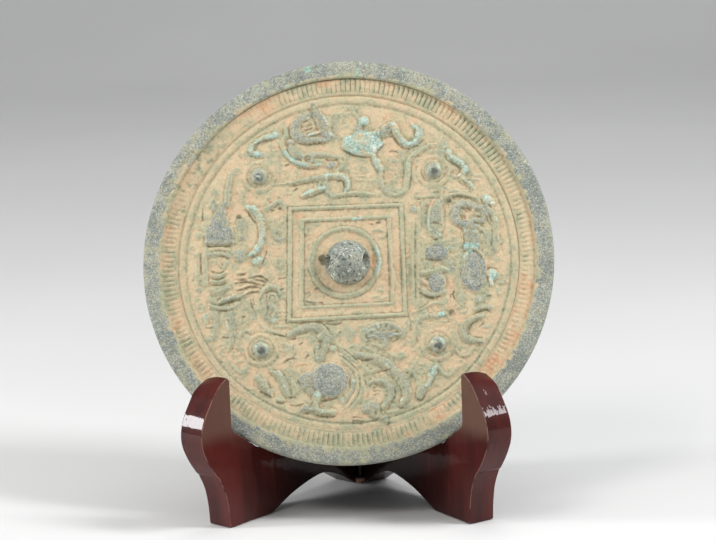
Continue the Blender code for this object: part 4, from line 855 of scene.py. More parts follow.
def incised(shapes):
    """Lines cut along the figures' limbs, and short hair or feather cuts across the wide ones."""
    found = []
    for kind, line, half, rise, _ in shapes:
        if kind != "stroke" or rise < LOW_LIMB or half.max() < THIN_LIMB or len(line) < 8:
            continue
        ahead = np.gradient(line, axis=0)
        ahead /= np.hypot(*ahead.T)[:, None] + 1e-9
        beside = np.stack([-ahead[:, 1], ahead[:, 0]], axis=1)
        inner = slice(1, -1)
        if half.max() < WIDE_LIMB:
            found.append(("stroke", line[inner], 0.2 * half[inner] + 0.1, -0.13, "groove"))
            continue
        shifted = line - 0.5 * half[:, None] * beside
        found.append(("stroke", shifted[inner], np.full(len(line) - 2, 0.25), -0.17, "groove"))
        run = np.concatenate([[0], np.cumsum(np.hypot(*np.diff(line, axis=0).T))])
        for at in np.arange(1.0, run[-1] - 0.8, FEATHER_SPACING):
            k = int(np.searchsorted(run, at))
            p, reach = line[k], half[k]
            start = p - 0.3 * reach * beside[k] - 0.3 * ahead[k]
            end = p + 0.9 * reach * beside[k] + 0.4 * ahead[k]
            found.append(("stroke", np.array([start, end]), np.full(2, 0.27), -0.24, "groove"))
    return found


def field_relief():
    """Every shape of the relief, the raised ones before the cut ones."""
    figures = (coiled_dragon, winged_figure, running_beast, corner_clouds, long_necked_bird,
               crescent_wing, feathered_tail, hooded_imp, hook_column, crouching_bear,
               mane_and_serpent, mounted_figure, serpent_and_line, corner_ornaments, nipples,
               square_frames, collar)
    shapes = [shape for figure in figures for shape in figure()]
    shapes = ground_scrolls() + shapes + incised(shapes)
    return sorted(shapes, key=lambda shape: shape[3] < 0)


def window(line, kind, place, half):
    """The part of the map that a shape can touch, and how thick the shape is."""
    if kind == "stroke":
        reach, thick, spots = half.max(), half.max(), place
    else:
        reach, spots = max(place[2], place[3]), np.array([place[:2]])
        thick = 0.6 * reach
    low = np.searchsorted(line, spots.min(axis=0) - 1.3 * reach)
    high = np.searchsorted(line, spots.max(axis=0) + 1.3 * reach)
    return (slice(low[0], high[0]), slice(low[1], high[1])), thick


def nearness(x, y, kind, place, half):
    """1 on a shape's ridge, falling to 0 at its edge and below 0 outside."""
    if kind == "mound":
        cx, cy, rx, ry, turn = place
        a = (x - cx) * math.cos(turn) + (y - cy) * math.sin(turn)
        b = (y - cy) * math.cos(turn) - (x - cx) * math.sin(turn)
        return 1.0 - (a / rx) ** 2 - (b / ry) ** 2
    best = np.full_like(x, -9.0)
    for (ax, ay), (bx, by), wa, wb in zip(place, place[1:], half, half[1:]):
        dx, dy = bx - ax, by - ay
        t = np.clip(((x - ax) * dx + (y - ay) * dy) / (dx * dx + dy * dy + 1e-9), 0.0, 1.0)
        reach = wa + (wb - wa) * t
        apart = np.hypot(x - ax - t * dx, y - ay - t * dy) / reach
        best = np.maximum(best, 1.0 - apart**2)
    return best


def lattice_noise(x, y, size, seed):
    """Smooth noise from -1 to 1 with features of the given size."""
    table = np.random.default_rng(seed).uniform(-1, 1, (64, 64))
    u, v = x / size + 1000.0, y / size + 1000.0
    i, j = np.floor(u).astype(int), np.floor(v).astype(int)
    a, b = u - i, v - j
    a, b = a * a * (3 - 2 * a), b * b * (3 - 2 * b)
    i, j, k, m = i % 64, j % 64, (i + 1) % 64, (j + 1) % 64
    return ((table[i, j] * (1 - a) + table[k, j] * a) * (1 - b)
            + (table[i, m] * (1 - a) + table[k, m] * a) * b)


def draw_relief(line):
    """Height of the decorated side, and the finish amounts there, on a square grid of points."""
    x, y = np.meshgrid(line, line, indexing="ij")
    height = np.full_like(x, FIELD_LEVEL)
    tint = np.zeros((*x.shape, CHANNELS))
    shift_x = 0.3 * lattice_noise(x, y, 1.5, 51) + 0.16 * lattice_noise(x, y, 0.7, 52)
    shift_y = 0.3 * lattice_noise(x, y, 1.5, 53) + 0.16 * lattice_noise(x, y, 0.7, 54)
    for kind, place, half, rise, name in field_relief():
        near, thick = window(line, kind, place, half)
        if x[near].size == 0:
            continue
        uneven = min(max(thick - 0.45, 0.1), 1.0)
        px, py = x[near] + uneven * shift_x[near], y[near] + uneven * shift_y[near]
        close = np.clip(nearness(px, py, kind, place, half), 0.0, 1.0)
        amounts = np.array(TINTS[name])
        if thick < THIN_LINE and rise > 0 and amounts[:OLIVE].max() < 0.5:
            amounts = amounts + THIN_LINE_DARKER
        if rise < 0:
            height[near] += rise * close ** 0.7
            cover = np.clip(close * 1.8, 0.0, 1.0)
        else:
            level = FIELD_LEVEL + (rise if rise > 2 else 0.8 * rise) * close ** 0.45
            height[near] = np.maximum(height[near], level)
            cover = np.clip(close * 3.0 + 0.25 * (close > 0), 0.0, 1.0)
            cover = np.where(level >= height[near] - 0.02, cover, 0.0)
        tint[near] += cover[..., None] * (amounts - tint[near])
    return x, y, add_ring_moulding(x, y, height, tint), tint


def add_ring_moulding(x, y, height, tint):
    """The height with the low ring outside the figures; the finish gets the dark lines along it, painted
    shade that grows towards the lower right.
    """
    r = np.hypot(x, y)
    middle, half_width = (RING_OUTER + RING_INNER) / 2, (RING_OUTER - RING_INNER) / 2
    arch = np.clip(1.0 - ((r - middle) / half_width) ** 4, 0.0, 1.0)
    height = np.maximum(height, FIELD_LEVEL + (RING_LEVEL - RING_WEAR - FIELD_LEVEL) * arch)
    tint[..., OLIVE] = np.maximum(tint[..., OLIVE], 0.36 * arch)
    for radius, width, amount in RING_MARKS:
        mark = np.clip(1.0 - ((r - radius) / width) ** 2, 0.0, 1.0) * amount
        # painted shade: the lines grow darker towards the lower right, away from the light
        mark *= 0.85 + 0.55 * np.clip(0.35 * x / r.clip(1.0) - y / r.clip(1.0), 0.0, 1.0)
        height -= 0.25 * mark
        tint[..., DARK] = np.maximum(tint[..., DARK], 0.75 * mark)
        tint[..., OLIVE] = np.maximum(tint[..., OLIVE], mark)
    return height


def blur(grid, size):
    """Gaussian blur of a square map, size in mm."""
    reach = int(math.ceil(3 * size / MAP_STEP))
    kernel = np.exp(-0.5 * (np.arange(-reach, reach + 1) * MAP_STEP / size) ** 2)
    kernel /= kernel.sum()
    for axis in (0, 1):
        padded = np.pad(grid, [(reach, reach) if k == axis else (0, 0) for k in (0, 1)], mode="edge")
        n = grid.shape[axis]
        grid = sum(w * (padded[k:k + n] if axis == 0 else padded[:, k:k + n])
                   for k, w in enumerate(kernel))
    return grid


def relief_maps():
    """Square maps of height, hollows and finish over the field, worn and part filled with earth."""
    line = np.arange(-MAP_HALF, MAP_HALF + MAP_STEP / 2, MAP_STEP)
    x, y, height, tint = draw_relief(line)
    coarse = lattice_noise(x, y, 6.0, 11)
    medium = lattice_noise(x, y, 1.9, 12)
    fine = lattice_noise(x, y, 0.8, 13)
    grit = lattice_noise(x, y, 0.42, 14)
    worn = 0.8 * blur(height, 0.2) + 0.2 * blur(height, 0.5)
    near = blur(height, 1.3)
    on_figure = np.clip((worn - FIELD_LEVEL) / 0.6, 0.0, 1.0)
    outlines = 2.8 * near + 1.5 * coarse + 0.25 * medium
    where = np.clip(0.45 + 1.2 * lattice_noise(x, y, 9.0, 15), 0.0, 1.0)
    ridges = np.sin(2 * math.pi * outlines) * where * (1.0 - on_figure)
    worn += 0.12 * ridges + 0.08 * medium * (1.0 - 0.6 * on_figure) + 0.07 * fine + 0.04 * grit
    worn += 0.14 * np.clip(near - FIELD_LEVEL, 0.0, 0.6) * (1.0 - on_figure)
    on_dome = np.clip(worn - FIELD_LEVEL - 1.7, 0.0, 0.6)
    worn += on_dome * (0.4 * fine + 0.3 * grit)
    # how far each point lies below its blurred surroundings, negative on ridges; the material paints shade
    # into the hollows and highlights onto the ridges from it
    hollow = np.clip((blur(worn, 0.8) - worn) / 0.36, -1.0, 1.0)
    hollow = np.where(np.hypot(x, y) > FIELD_END, 0.6 * hollow, hollow)
    slope = np.hypot(*np.gradient(blur(height, 0.3), MAP_STEP))
    finish = worn_finish([tint[..., k] for k in range(CHANNELS)], coarse, medium, ridges, on_figure, slope)
    return [worn, hollow * 0.5 + 0.5] + finish


def worn_finish(tints, coarse, medium, ridges, on_figure, slope):
    """The finish amounts spread and broken up: olive round the figures, partly sediment and partly painted
    shade, pale crust on their edges.
    """
    soft = [blur(t, 0.24) for t in tints]
    # halo: olive film spread round the figures, partly sediment and partly painted shade
    halo = np.clip(1.5 * blur(tints[OLIVE], 1.25) + 0.9 * blur(tints[OLIVE], 3.5) - 0.15, 0.0, 1.0)
    halo = np.clip(halo * (0.8 + 0.6 * medium + 0.6 * coarse) + 0.25 * ridges, 0.0, 1.0)
    soft[OLIVE] = np.maximum(soft[OLIVE], 0.72 * halo)
    edge = np.clip(1.4 * slope - 1.3, 0.0, 1.0) * np.clip(0.5 + 1.2 * medium, 0.0, 1.0)
    on_bronze = np.clip(1.3 * soft[VERDIGRIS] + 0.2 * soft[METAL], 0.0, 1.0)
    soft[PALE] = np.maximum(soft[PALE], 0.8 * edge * on_bronze)
    soft[VERDIGRIS] = np.clip(soft[VERDIGRIS] * (0.95 + 0.7 * medium + 0.5 * coarse), 0.0, 1.0)
    soft[RED] = np.clip(soft[RED] + 0.1 + 0.35 * coarse + 0.3 * medium - 0.5 * on_figure, 0.0, 1.0)
    return soft


def relief(x, y):
    """The maps' values at points of the disc, in mm: height, hollow, then the finish amounts."""
    c, s = math.cos(DRAWING_TURN), math.sin(DRAWING_TURN)
    x, y = c * x - s * (y + DRAWING_LIFT), s * x + c * (y + DRAWING_LIFT)
    u, v = (x + MAP_HALF) / MAP_STEP, (y + MAP_HALF) / MAP_STEP
    maps = relief_maps()
    last = maps[0].shape[0] - 2
    i, j = np.clip(u.astype(int), 0, last), np.clip(v.astype(int), 0, last)
    a, b = np.clip(u - i, 0.0, 1.0), np.clip(v - j, 0.0, 1.0)
    return [(grid[i, j] * (1 - a) + grid[i + 1, j] * a) * (1 - b)
            + (grid[i, j + 1] * (1 - a) + grid[i + 1, j + 1] * a) * b for grid in maps]


# --------------------------------------------------------------------------
# mesh helpers
# --------------------------------------------------------------------------

def new_object(name, data, matrix=None):
    """An object in the scene's collection with the mesh or curve."""
    thing = bpy.data.objects.new(name, data)
    bpy.context.scene.collection.objects.link(thing)
    if matrix is not None:
        thing.matrix_world = matrix
    return thing


def filled_object(name, bm, matrix=None):
    """An object from the bmesh, its normals made consistent; the bmesh is freed."""
    mesh = bpy.data.meshes.new(name)
    bmesh.ops.recalc_face_normals(bm, faces=bm.faces)
    bm.to_mesh(mesh)
    bm.free()
    return new_object(name, mesh, matrix)


def coordinates(mesh):
    """The mesh's points as rows of x, y and z."""
    co = np.zeros(len(mesh.vertices) * 3)
    mesh.vertices.foreach_get("co", co)
    return co.reshape(-1, 3)


def stitch(first, n_first, second, n_second):
    """Triangles between two rings of vertices, by angle."""
    faces, i, j = [], 0, 0
    while i < n_first or j < n_second:
        if j >= n_second or (i < n_first and (i + 1) * n_second <= (j + 1) * n_first):
            faces.append((first + i % n_first, second + j % n_second, first + (i + 1) % n_first))
            i += 1
        else:
            faces.append((first + i % n_first, second + j % n_second, second + (j + 1) % n_second))
            j += 1
    return faces


def taken(thing):
    """The object's mesh with its modifiers applied; the object itself goes."""
    bpy.context.view_layer.update()
    depsgraph = bpy.context.evaluated_depsgraph_get()
    mesh = bpy.data.meshes.new_from_object(thing.evaluated_get(depsgraph))
    bpy.data.objects.remove(thing, do_unlink=True)
    return mesh


def after_booleans(thing, tools):
    """The object's mesh after each (tool, operation) in turn; the object and the tools go."""
    for tool, operation in tools:
        step = thing.modifiers.new(tool.name, "BOOLEAN")
        step.operation, step.solver, step.object = operation, "EXACT", tool
    mesh = taken(thing)
    for tool, _ in tools:
        bpy.data.objects.remove(tool, do_unlink=True)
    return mesh


def shade_smooth(mesh, limit_degrees=None):
    """Smooth shading, but sharp at edges that turn more than the limit."""
    for polygon in mesh.polygons:
        polygon.use_smooth = True
    if limit_degrees:
        bm = bmesh.new()
        bm.from_mesh(mesh)
        limit = math.radians(limit_degrees)
        for edge in bm.edges:
            edge.smooth = len(edge.link_faces) == 2 and edge.calc_face_angle(0.0) < limit
        bm.to_mesh(mesh)
        bm.free()


# --------------------------------------------------------------------------
# mirror
# --------------------------------------------------------------------------

def placed_on_mirror():
    """From the disc's own axes, Z out of the decorated side, to its place in the stand."""
    placed = Matrix.Translation((0, MIRROR_Y * MM, MIRROR_Z * MM))
    return placed @ Matrix.Rotation(math.radians(90) - LEAN, 4, "X")


def around(angle, centre, width, power=2):
    """1 at one place round the disc, fading to both sides of it; all angles in degrees."""
    away = np.abs((angle - centre + 180) % 360 - 180)
    return np.exp(-(away / width) ** power)


def comb_depth(angle):
    """How deep the comb's grooves are: sharp in the upper right, worn or filled elsewhere."""
    sharp, fair, filled = around(angle, 50, 24.0), around(angle, 88, 34.0), around(angle, 139, 20.0, 4)
    return (0.34 + 0.1 * sharp + 0.05 * fair) * (1.0 - 0.75 * filled)


def weathering(x, y, angle):
    """Patches and spots in the outer bands' finish, and the stretches where it changes; the top stretch
    also places the painted shadow under the rim's step.
    """
    return {"patch": lattice_noise(x, y, 9.0, 21) + 0.6 * lattice_noise(x, y, 3.2, 22),
            "spot": lattice_noise(x, y, 2.2, 23) + 0.5 * lattice_noise(x, y, 1.0, 24),
            "right": around(angle, -20, 42.0), "top": around(angle, 95, 40.0),
            "crusted": around(angle, 148, 20.0), "warm": around(angle, 50, 24.0)}


def strip_finish(at):
    """Finish of the comb band and of the flat strips beside it."""
    patch, spot, right = at["patch"], at["spot"], at["right"]
    finish = np.tile(COMB_FINISH, (len(patch), 1))
    finish[:, OLIVE] = np.clip(0.42 + 0.3 * patch + 0.2 * spot - 0.25 * right, 0.0, 1.0)
    finish[:, RED] = np.clip(0.16 - 0.35 * patch + 0.22 * right + 0.2 * spot, 0.0, 1.0)
    return finish


def comb_ring(ring, amount, angle, at):
    """Level, finish, and the soil and painted shade in the grooves, of one ring of points through the
    comb's teeth.
    """
    depth = comb_depth(angle) * np.clip(1.0 + 0.3 * at["patch"] + 0.25 * at["spot"], 0.25, 1.3)
    depth = depth * (1.0 - 0.8 * at["right"] * (ring > COMB_MIDDLE))
    step_down = 0.25 * (amount < 0.5) * (ring < COMB_FOOT)
    level = COMB_LEVEL - 0.1 + amount * depth * np.tile(TOOTH_SHAPE, TEETH) - step_down
    # how far each point lies in a groove: olive and red soil there, and painted shade through the dark and
    # hollow values
    soil_and_shade = amount * np.tile(GROOVE_SHAPE, TEETH) * np.clip(depth * 1.25, 0.0, 1.0)
    finish = strip_finish(at)
    finish[:, OLIVE] = np.maximum(finish[:, OLIVE], 0.8 * soil_and_shade * (1.0 - 0.8 * at["warm"]))
    finish[:, RED] = np.maximum(finish[:, RED], 0.9 * soil_and_shade * at["warm"])
    return level, finish, soil_and_shade


def strip_ring(kind, at):
    """The same for a ring of points on a flat strip beside the comb, or at the rim's foot."""
    # the third value darkens the points: a little on the low flat strip, as soil and painted shade, and at
    # the rim's foot as a painted shadow under the rim's step, darkest round the top
    none = np.zeros(len(at["patch"]))
    if kind == "flat":
        return none + (COMB_LEVEL - 0.4), strip_finish(at), none + 0.2
    soil_and_shade = 0.35 + 0.6 * at["top"] if kind == "foot" else none
    return none + (COMB_LEVEL - 0.1), strip_finish(at), soil_and_shade


def rim_ring(ring, kind, at):
    """The same for a ring of points on the flat rim or on its outer edge."""
    patch, spot = at["patch"], at["spot"]
    drop = EDGE_DROP if kind == "edge" else 0.1 * (ring < RIM_FLAT[0] or ring > RIM_FLAT[1])
    level = RIM_THICK - drop - 0.06 * np.clip(spot - 0.5, 0.0, 1.0)
    inner = max(0.0, (RIM_BARE - ring) / 2.0)
    crust = inner + 0.5 * at["crusted"] * (ring < CRUST_END)
    bare = 0.95 - 0.5 * np.clip(patch + 0.4 * spot - 0.2, 0.0, 1.0)
    bare = bare - crust * np.clip(0.6 + spot, 0.0, 1.0)
    green = 0.05 + 0.75 * np.clip(spot - 0.35, 0.0, 1.0) * (0.3 + at["top"])
    finish = np.tile(RIM_FINISH, (len(patch), 1))
    finish[:, VERDIGRIS] = np.clip(green, 0.0, 1.0)
    finish[:, METAL] = np.clip(bare, 0.0, 1.0)
    finish[:, OLIVE] = np.clip(0.35 + 0.5 * patch + 0.6 * inner, 0.0, 1.0)
    finish[:, PALE] = 0.5 * np.clip(-spot - 0.35, 0.0, 1.0)
    return level, finish, np.zeros(len(patch))


def face_grid():
    """Radius and angle of the decorated side's points, ring by ring, and each ring's count."""
    step = FIELD_GRID / FIELD_RINGS
    radii, turns, counts = [np.zeros(1)], [np.zeros(1)], [1]
    for k in range(1, FIELD_RINGS + 1):
        radii.append(np.full(6 * k, k * step))
        turns.append(np.arange(6 * k) * (2 * math.pi / (6 * k)))
        counts.append(6 * k)
    n = counts[-1]
    for radius, _, kind in OUTER_RINGS:
        if kind == "comb":
            turn = (np.arange(TEETH)[:, None] + UNEVEN_TOOTH[None, :]).ravel() * (2 * math.pi / TEETH)
        else:
            turn = np.arange(n) * (2 * math.pi / n)
        radii.append(np.full(n, radius))
        turns.append(turn)
        counts.append(n)
    return np.concatenate(radii), np.concatenate(turns), counts


def mirror_face():
    """Points, hollows, finish and faces of the decorated side, and its last ring's count."""
    radius, turn, counts = face_grid()
    x, y = radius * np.cos(turn), radius * np.sin(turn)
    values = relief(x, y)
    height, hollow, tint = values[0], values[1], np.stack(values[2:], axis=1)
    start = np.concatenate([[0], np.cumsum(counts)])
    angle = np.degrees(turn)
    rough = 0.05 * lattice_noise(x, y, 2.6, 3) + 0.07 * lattice_noise(x, y, 1.1, 4)
    weather = weathering(x, y, angle)
    for k, (ring, amount, kind) in enumerate(OUTER_RINGS):
        span = slice(start[FIELD_RINGS + 1 + k], start[FIELD_RINGS + 2 + k])
        at = {name: amounts[span] for name, amounts in weather.items()}
        on_rim = kind in ("rim", "edge")
        if kind == "comb":
            level, finish, soil_and_shade = comb_ring(ring, amount, angle[span], at)
        elif on_rim:
            level, finish, soil_and_shade = rim_ring(ring, kind, at)
        else:
            level, finish, soil_and_shade = strip_ring(kind, at)
        crusty = at["crusted"] * np.clip(0.5 + 1.4 * at["spot"] + 0.4 * at["patch"], 0.0, 1.0)
        # dark amount: crust on the crusted stretch, soil and painted shade in the comb's grooves, painted
        # shadow at the rim's foot
        crust_soil_and_shade = np.maximum(soil_and_shade, 0.5 * crusty * (ring < CRUST_END - 1))
        finish[:, OLIVE] = np.maximum(finish[:, OLIVE], 0.9 * crusty * (ring < CRUST_END))
        finish[:, DARK] = np.maximum(finish[:, DARK], crust_soil_and_shade)
        height[span] = level + rough[span] * (0.7 if on_rim else 1.0)
        # the hollow value here feeds the painted shade in the material
        hollow[span] = 0.5 + 0.4 * soil_and_shade
        tint[span] = finish
    return np.stack([x, y, height], axis=1), hollow, tint, stitch_rings(start, counts), counts[-1]


def stitch_rings(start, counts):
    """Faces between all rings of the decorated side, from the fan at its middle outwards."""
    faces = [(0, 1 + i, 1 + (i + 1) % 6) for i in range(6)]
    for k in range(1, len(counts) - 1):
        faces += stitch_closed(int(start[k]), counts[k], int(start[k + 1]), counts[k + 1])
    return faces


def stitch_closed(first, n_first, second, n_second):
    """Faces between two rings: quads where they have as many vertices, or else triangles."""
    if n_first == n_second:
        after = [(i + 1) % n_first for i in range(n_first)]
        return [(first + i, second + i, second + j, first + j) for i, j in enumerate(after)]
    return stitch(first, n_first, second, n_second)


def make_mirror(material):
    """The disc: the decorated side, the edge and the slightly crowned reflecting side."""
    face, hollow, tint, faces, n = mirror_face()
    points, count = [face], len(face)
    sides = [(RADIUS, RIM_THICK - CHAMFER, n), (RADIUS, 2.4, n), (RADIUS, 0.9, n // 2),
             (RADIUS, 0.25, n // 4), (RADIUS - 0.3, 0.0, n // 4)]
    sides += [(r, -CROWN * (1 - (r / RADIUS) ** 2), n // 4) for r in (80.0, 65.0, 45.0, 25.0)]
    previous, n_previous = count - n, n
    for radius, level, m in sides:
        turn = np.arange(m) * (2 * math.pi / m)
        points.append(np.stack([radius * np.cos(turn), radius * np.sin(turn), np.full(m, level)], axis=1))
        faces += stitch_closed(previous, n_previous, count, m)
        previous, n_previous = count, m
        count += m
    points.append(np.array([[0.0, 0.0, -CROWN]]))
    faces += [(previous + i, count, previous + (i + 1) % n_previous) for i in range(n_previous)]
    points = np.concatenate(points)
    extra = len(points) - len(face)
    hollow = np.concatenate([hollow, np.full(extra, 0.5)])
    tint = np.concatenate([tint, np.tile(RIM_FINISH, (extra, 1))])
    mesh = bpy.data.meshes.new("mirror_disc")
    mesh.from_pydata((points * MM).tolist(), [], faces)
    mesh.update()
    paint(mesh, hollow, tint)
    return settle("mirror_disc", mesh, placed_on_mirror(), material)


def paint(mesh, hollow, tint):
    """Stores the finish amounts and the hollows on the mesh's points; the hollows drive painted shade and
    painted highlights in the material.
    """
    # the first attribute holds verdigris, bare metal, olive and the hollow value for painted shading; the
    # second holds the dark amount, partly crust and partly painted shade, then pale crust and red earth
    for name, first in (("patina_and_painted_shading", VERDIGRIS), ("crust", DARK)):
        channels = [tint[:, first + k] for k in range(3)] + [hollow]
        attribute = mesh.color_attributes.new(name, "FLOAT_COLOR", "POINT")
        attribute.data.foreach_set("color", np.stack(channels, axis=1).ravel())


def settle(name, mesh, placed, material, sharp=None):
    """Keeps the mesh's own coordinates for its textures, and moves it to its place."""
    local = mesh.attributes.new("local", "FLOAT_VECTOR", "POINT")
    local.data.foreach_set("vector", coordinates(mesh).ravel())
    mesh.transform(placed)
    shade_smooth(mesh, sharp)
    mesh.materials.clear()
    mesh.materials.append(material)
    return new_object(name, mesh)


def skin_noise(points, size, seed):
    """Noise from about -1 to 1 at points in space, in mm."""
    shift = Vector((seed * 17.3, seed * 5.9, seed * 11.7))
    return np.array([2.0 * noise.noise(Vector(point) / size + shift) for point in points])


def knob_blank():
    """The knob's dome with its cast skin, before the cord hole."""
    bm = bmesh.new()
    bmesh.ops.create_icosphere(bm, subdivisions=7, radius=KNOB_RADIUS)
    low = [vertex for vertex in bm.verts if vertex.co.z < -(KNOB_ROOT + 0.3)]
    bmesh.ops.delete(bm, geom=low, context="VERTS")
    ball = np.array([vertex.co[:] for vertex in bm.verts])
    dent = (0.12 * skin_noise(ball, 3.4, 5) + 0.04 * skin_noise(ball, 1.3, 6)
            + 0.02 * skin_noise(ball, 0.7, 7) - 0.1)
    for vertex, amount in zip(bm.verts, dent):
        vertex.co += vertex.co.normalized() * amount
        vertex.co.z += FIELD_LEVEL
    bmesh.ops.bisect_plane(bm, geom=bm.verts[:] + bm.edges[:] + bm.faces[:], dist=1e-5,
                           plane_co=(0, 0, FIELD_LEVEL - KNOB_ROOT), plane_no=(0, 0, -1),
                           clear_outer=True)
    bmesh.ops.edgeloop_fill(bm, edges=[edge for edge in bm.edges if edge.is_boundary])
    bmesh.ops.scale(bm, vec=(MM, MM, MM), verts=bm.verts)
    return filled_object("mirror_knob", bm)


def cord_hole_tools():
    """The bore across the knob and the flare at each of its mouths."""
    across = Matrix.Translation((0, 0, (FIELD_LEVEL + BORE_HEIGHT) * MM))
    across = across @ Matrix.Rotation(math.radians(90), 4, "Y")
    bm = bmesh.new()
    bmesh.ops.create_cone(bm, cap_ends=True, segments=40, radius1=BORE_RADIUS * MM,
                          radius2=BORE_RADIUS * MM, depth=2.6 * KNOB_RADIUS * MM, matrix=across)
    tools = [filled_object("cord_hole", bm)]
    for end in (-1, 1):
        bm = bmesh.new()
        flare = Matrix.Translation((end * 9.6 * MM, 0, (FIELD_LEVEL + BORE_HEIGHT + 0.9) * MM))
        flare = flare @ Matrix.Diagonal((2.9 * MM, 3.2 * MM, 3.4 * MM, 1.0))
        bmesh.ops.create_uvsphere(bm, u_segments=40, v_segments=24, radius=1.0, matrix=flare)
        tools.append(filled_object(f"hole_mouth_{end + 1}", bm))
    return tools


def make_knob(material):
    """Domed knob with a cord hole through it and a cast, pitted skin."""
    mesh = after_booleans(knob_blank(), [(tool, "DIFFERENCE") for tool in cord_hole_tools()])
    co = coordinates(mesh) / MM
    from_middle = np.linalg.norm(co - (0, 0, FIELD_LEVEL), axis=1)
    # inside: the bore's walls, painted dark as shade
    inside = np.clip((KNOB_RADIUS - 0.75 - from_middle) / 0.5, 0.0, 1.0) * (co[:, 2] > FIELD_LEVEL - 1)
    # low: the knob's foot, with soil on it and some painted shade through the hollow value
    low = np.clip((4.6 - co[:, 2]) / 2.4, 0.0, 1.0)
    pits = np.clip(1.6 * skin_noise(co, 1.6, 31) + 1.2 * skin_noise(co, 0.9, 32) - 0.8, 0.0, 1.0)
    bright = np.clip(1.6 * skin_noise(co, 1.8, 33) + 1.2 * skin_noise(co, 0.9, 34) - 0.7, 0.0, 1.0)
    tint = np.zeros((len(co), CHANNELS))
    tint[:, VERDIGRIS] = 0.1 + 0.3 * bright
    tint[:, METAL] = 1.0
    tint[:, OLIVE] = 0.9 * low
    # inside the bore the dark amount is painted shade; elsewhere it is pits
    tint[:, DARK] = np.maximum(0.9 * pits, inside)
    tint[:, PALE] = 0.8 * bright * (1 - low)
    tint[:, RED] = 0.5 * low
    # hollow value: full painted shade inside the bore, some at the knob's foot
    paint(mesh, np.where(inside > 0.5, 1.0, 0.5 + 0.25 * low), tint)
    placed = placed_on_mirror() @ Matrix.Translation((KNOB_CENTRE[0] * MM, KNOB_CENTRE[1] * MM, 0))
    return settle("mirror_knob", mesh, placed, material, 50)


# --------------------------------------------------------------------------
# stand
# --------------------------------------------------------------------------

def upright_front(z):
    """How far along the board the upright ends at a height, clear of the mirror's back."""
    from_hinge = HINGE_Y - MIRROR_Y + (MIRROR_Z - z) * math.tan(LEAN)
    clear = (CROWN + GAP) / math.cos(LEAN)
    return (from_hinge - clear) / math.cos(OPENING)


def rim_on_inner_face(level):
    """Where the disc's edge at a level crosses a board's inner face: along the board, and up."""
    forward = LIP_BACK
    for _ in range(40):
        down = math.sqrt(RADIUS**2 - (forward * math.sin(OPENING)) ** 2)
        behind = MIRROR_Y - down * math.sin(LEAN) - level * math.cos(LEAN)
        forward = (HINGE_Y - behind) / math.cos(OPENING)
    return np.array([forward, MIRROR_Z - down * math.cos(LEAN) + level * math.sin(LEAN)])


def seat_ends():
    """The low and the high end of the seat, which follows the disc's edge with a gap between."""
    back, front = rim_on_inner_face(0.0), rim_on_inner_face(RIM_THICK)
    along = (front - back) / np.linalg.norm(front - back)
    start = back + GAP * np.array([along[1], -along[0]])
    low = start.copy()
    while low[0] > upright_front(low[1]):
        low -= 0.05 * along
    return low, start + along * (LIP_BACK - SEAT_CURVE - start[0]) / along[0]


def board_outline(side):
    """The board's outline, along the board and up, from the foot's arch round to the back."""
    arch = smooth_path([(3.5, 0), (8, 2.8), (14, 6.4), (22.5, 9.6), (31, 9.3), (44.5, 6),
                        (55, 1.6), (59, 0)], 6)
    front = smooth_path([(85.6, 0), (86.2, 8), (87.8, 16), (91.2, 23.4)], 6)
    crease = [(93.9, 57.6), (92.9, 59.1)] if side < 0 else [(91.7, 60.2), (90.6, 61.6)]
    bulge = smooth_path([(92.6, 24.6), (97, 31), (100.3, 38), (100.7, 44.4), (98.4, 51), crease[0]], 7)
    nose = smooth_path([crease[1], (88.4, 63.6), (LIP_BACK + 1.6, LIP_TOP + 0.4)], 5)
    seat_low, seat_high = seat_ends()
    seat = smooth_path([(LIP_BACK, 45), (LIP_BACK - 0.6, 42.8), seat_high], 2)
    top = UPRIGHT_TOP
    head = smooth_path([(upright_front(top - 7), top - 7), (upright_front(top) - 1.2, top - 1.6),
                        (upright_front(top) - 5, top)], 6)
    back = [(BACK_END + 5, top), (BACK_END + 1, top - 2.4), (BACK_END, top - 7), (BACK_END, 0)]
    return np.vstack([arch, front, bulge, nose, [(LIP_BACK, LIP_TOP - 1.2)], seat, [seat_low],
                      head, back])


def slab_mesh(name, side):
    """The board's outline as a slab with square edges."""
    curve = bpy.data.curves.new(name, "CURVE")
    curve.dimensions = "2D"
    curve.fill_mode = "BOTH"
    curve.extrude = BOARD / 2 * MM
    outline = board_outline(side)
    spline = curve.splines.new("POLY")
    spline.points.add(len(outline) - 1)
    for point, (forward, up) in zip(spline.points, outline):
        point.co = (forward * MM, up * MM, 0, 1)
    spline.use_cyclic_u = True
    return taken(new_object(f"{name}_outline", curve))


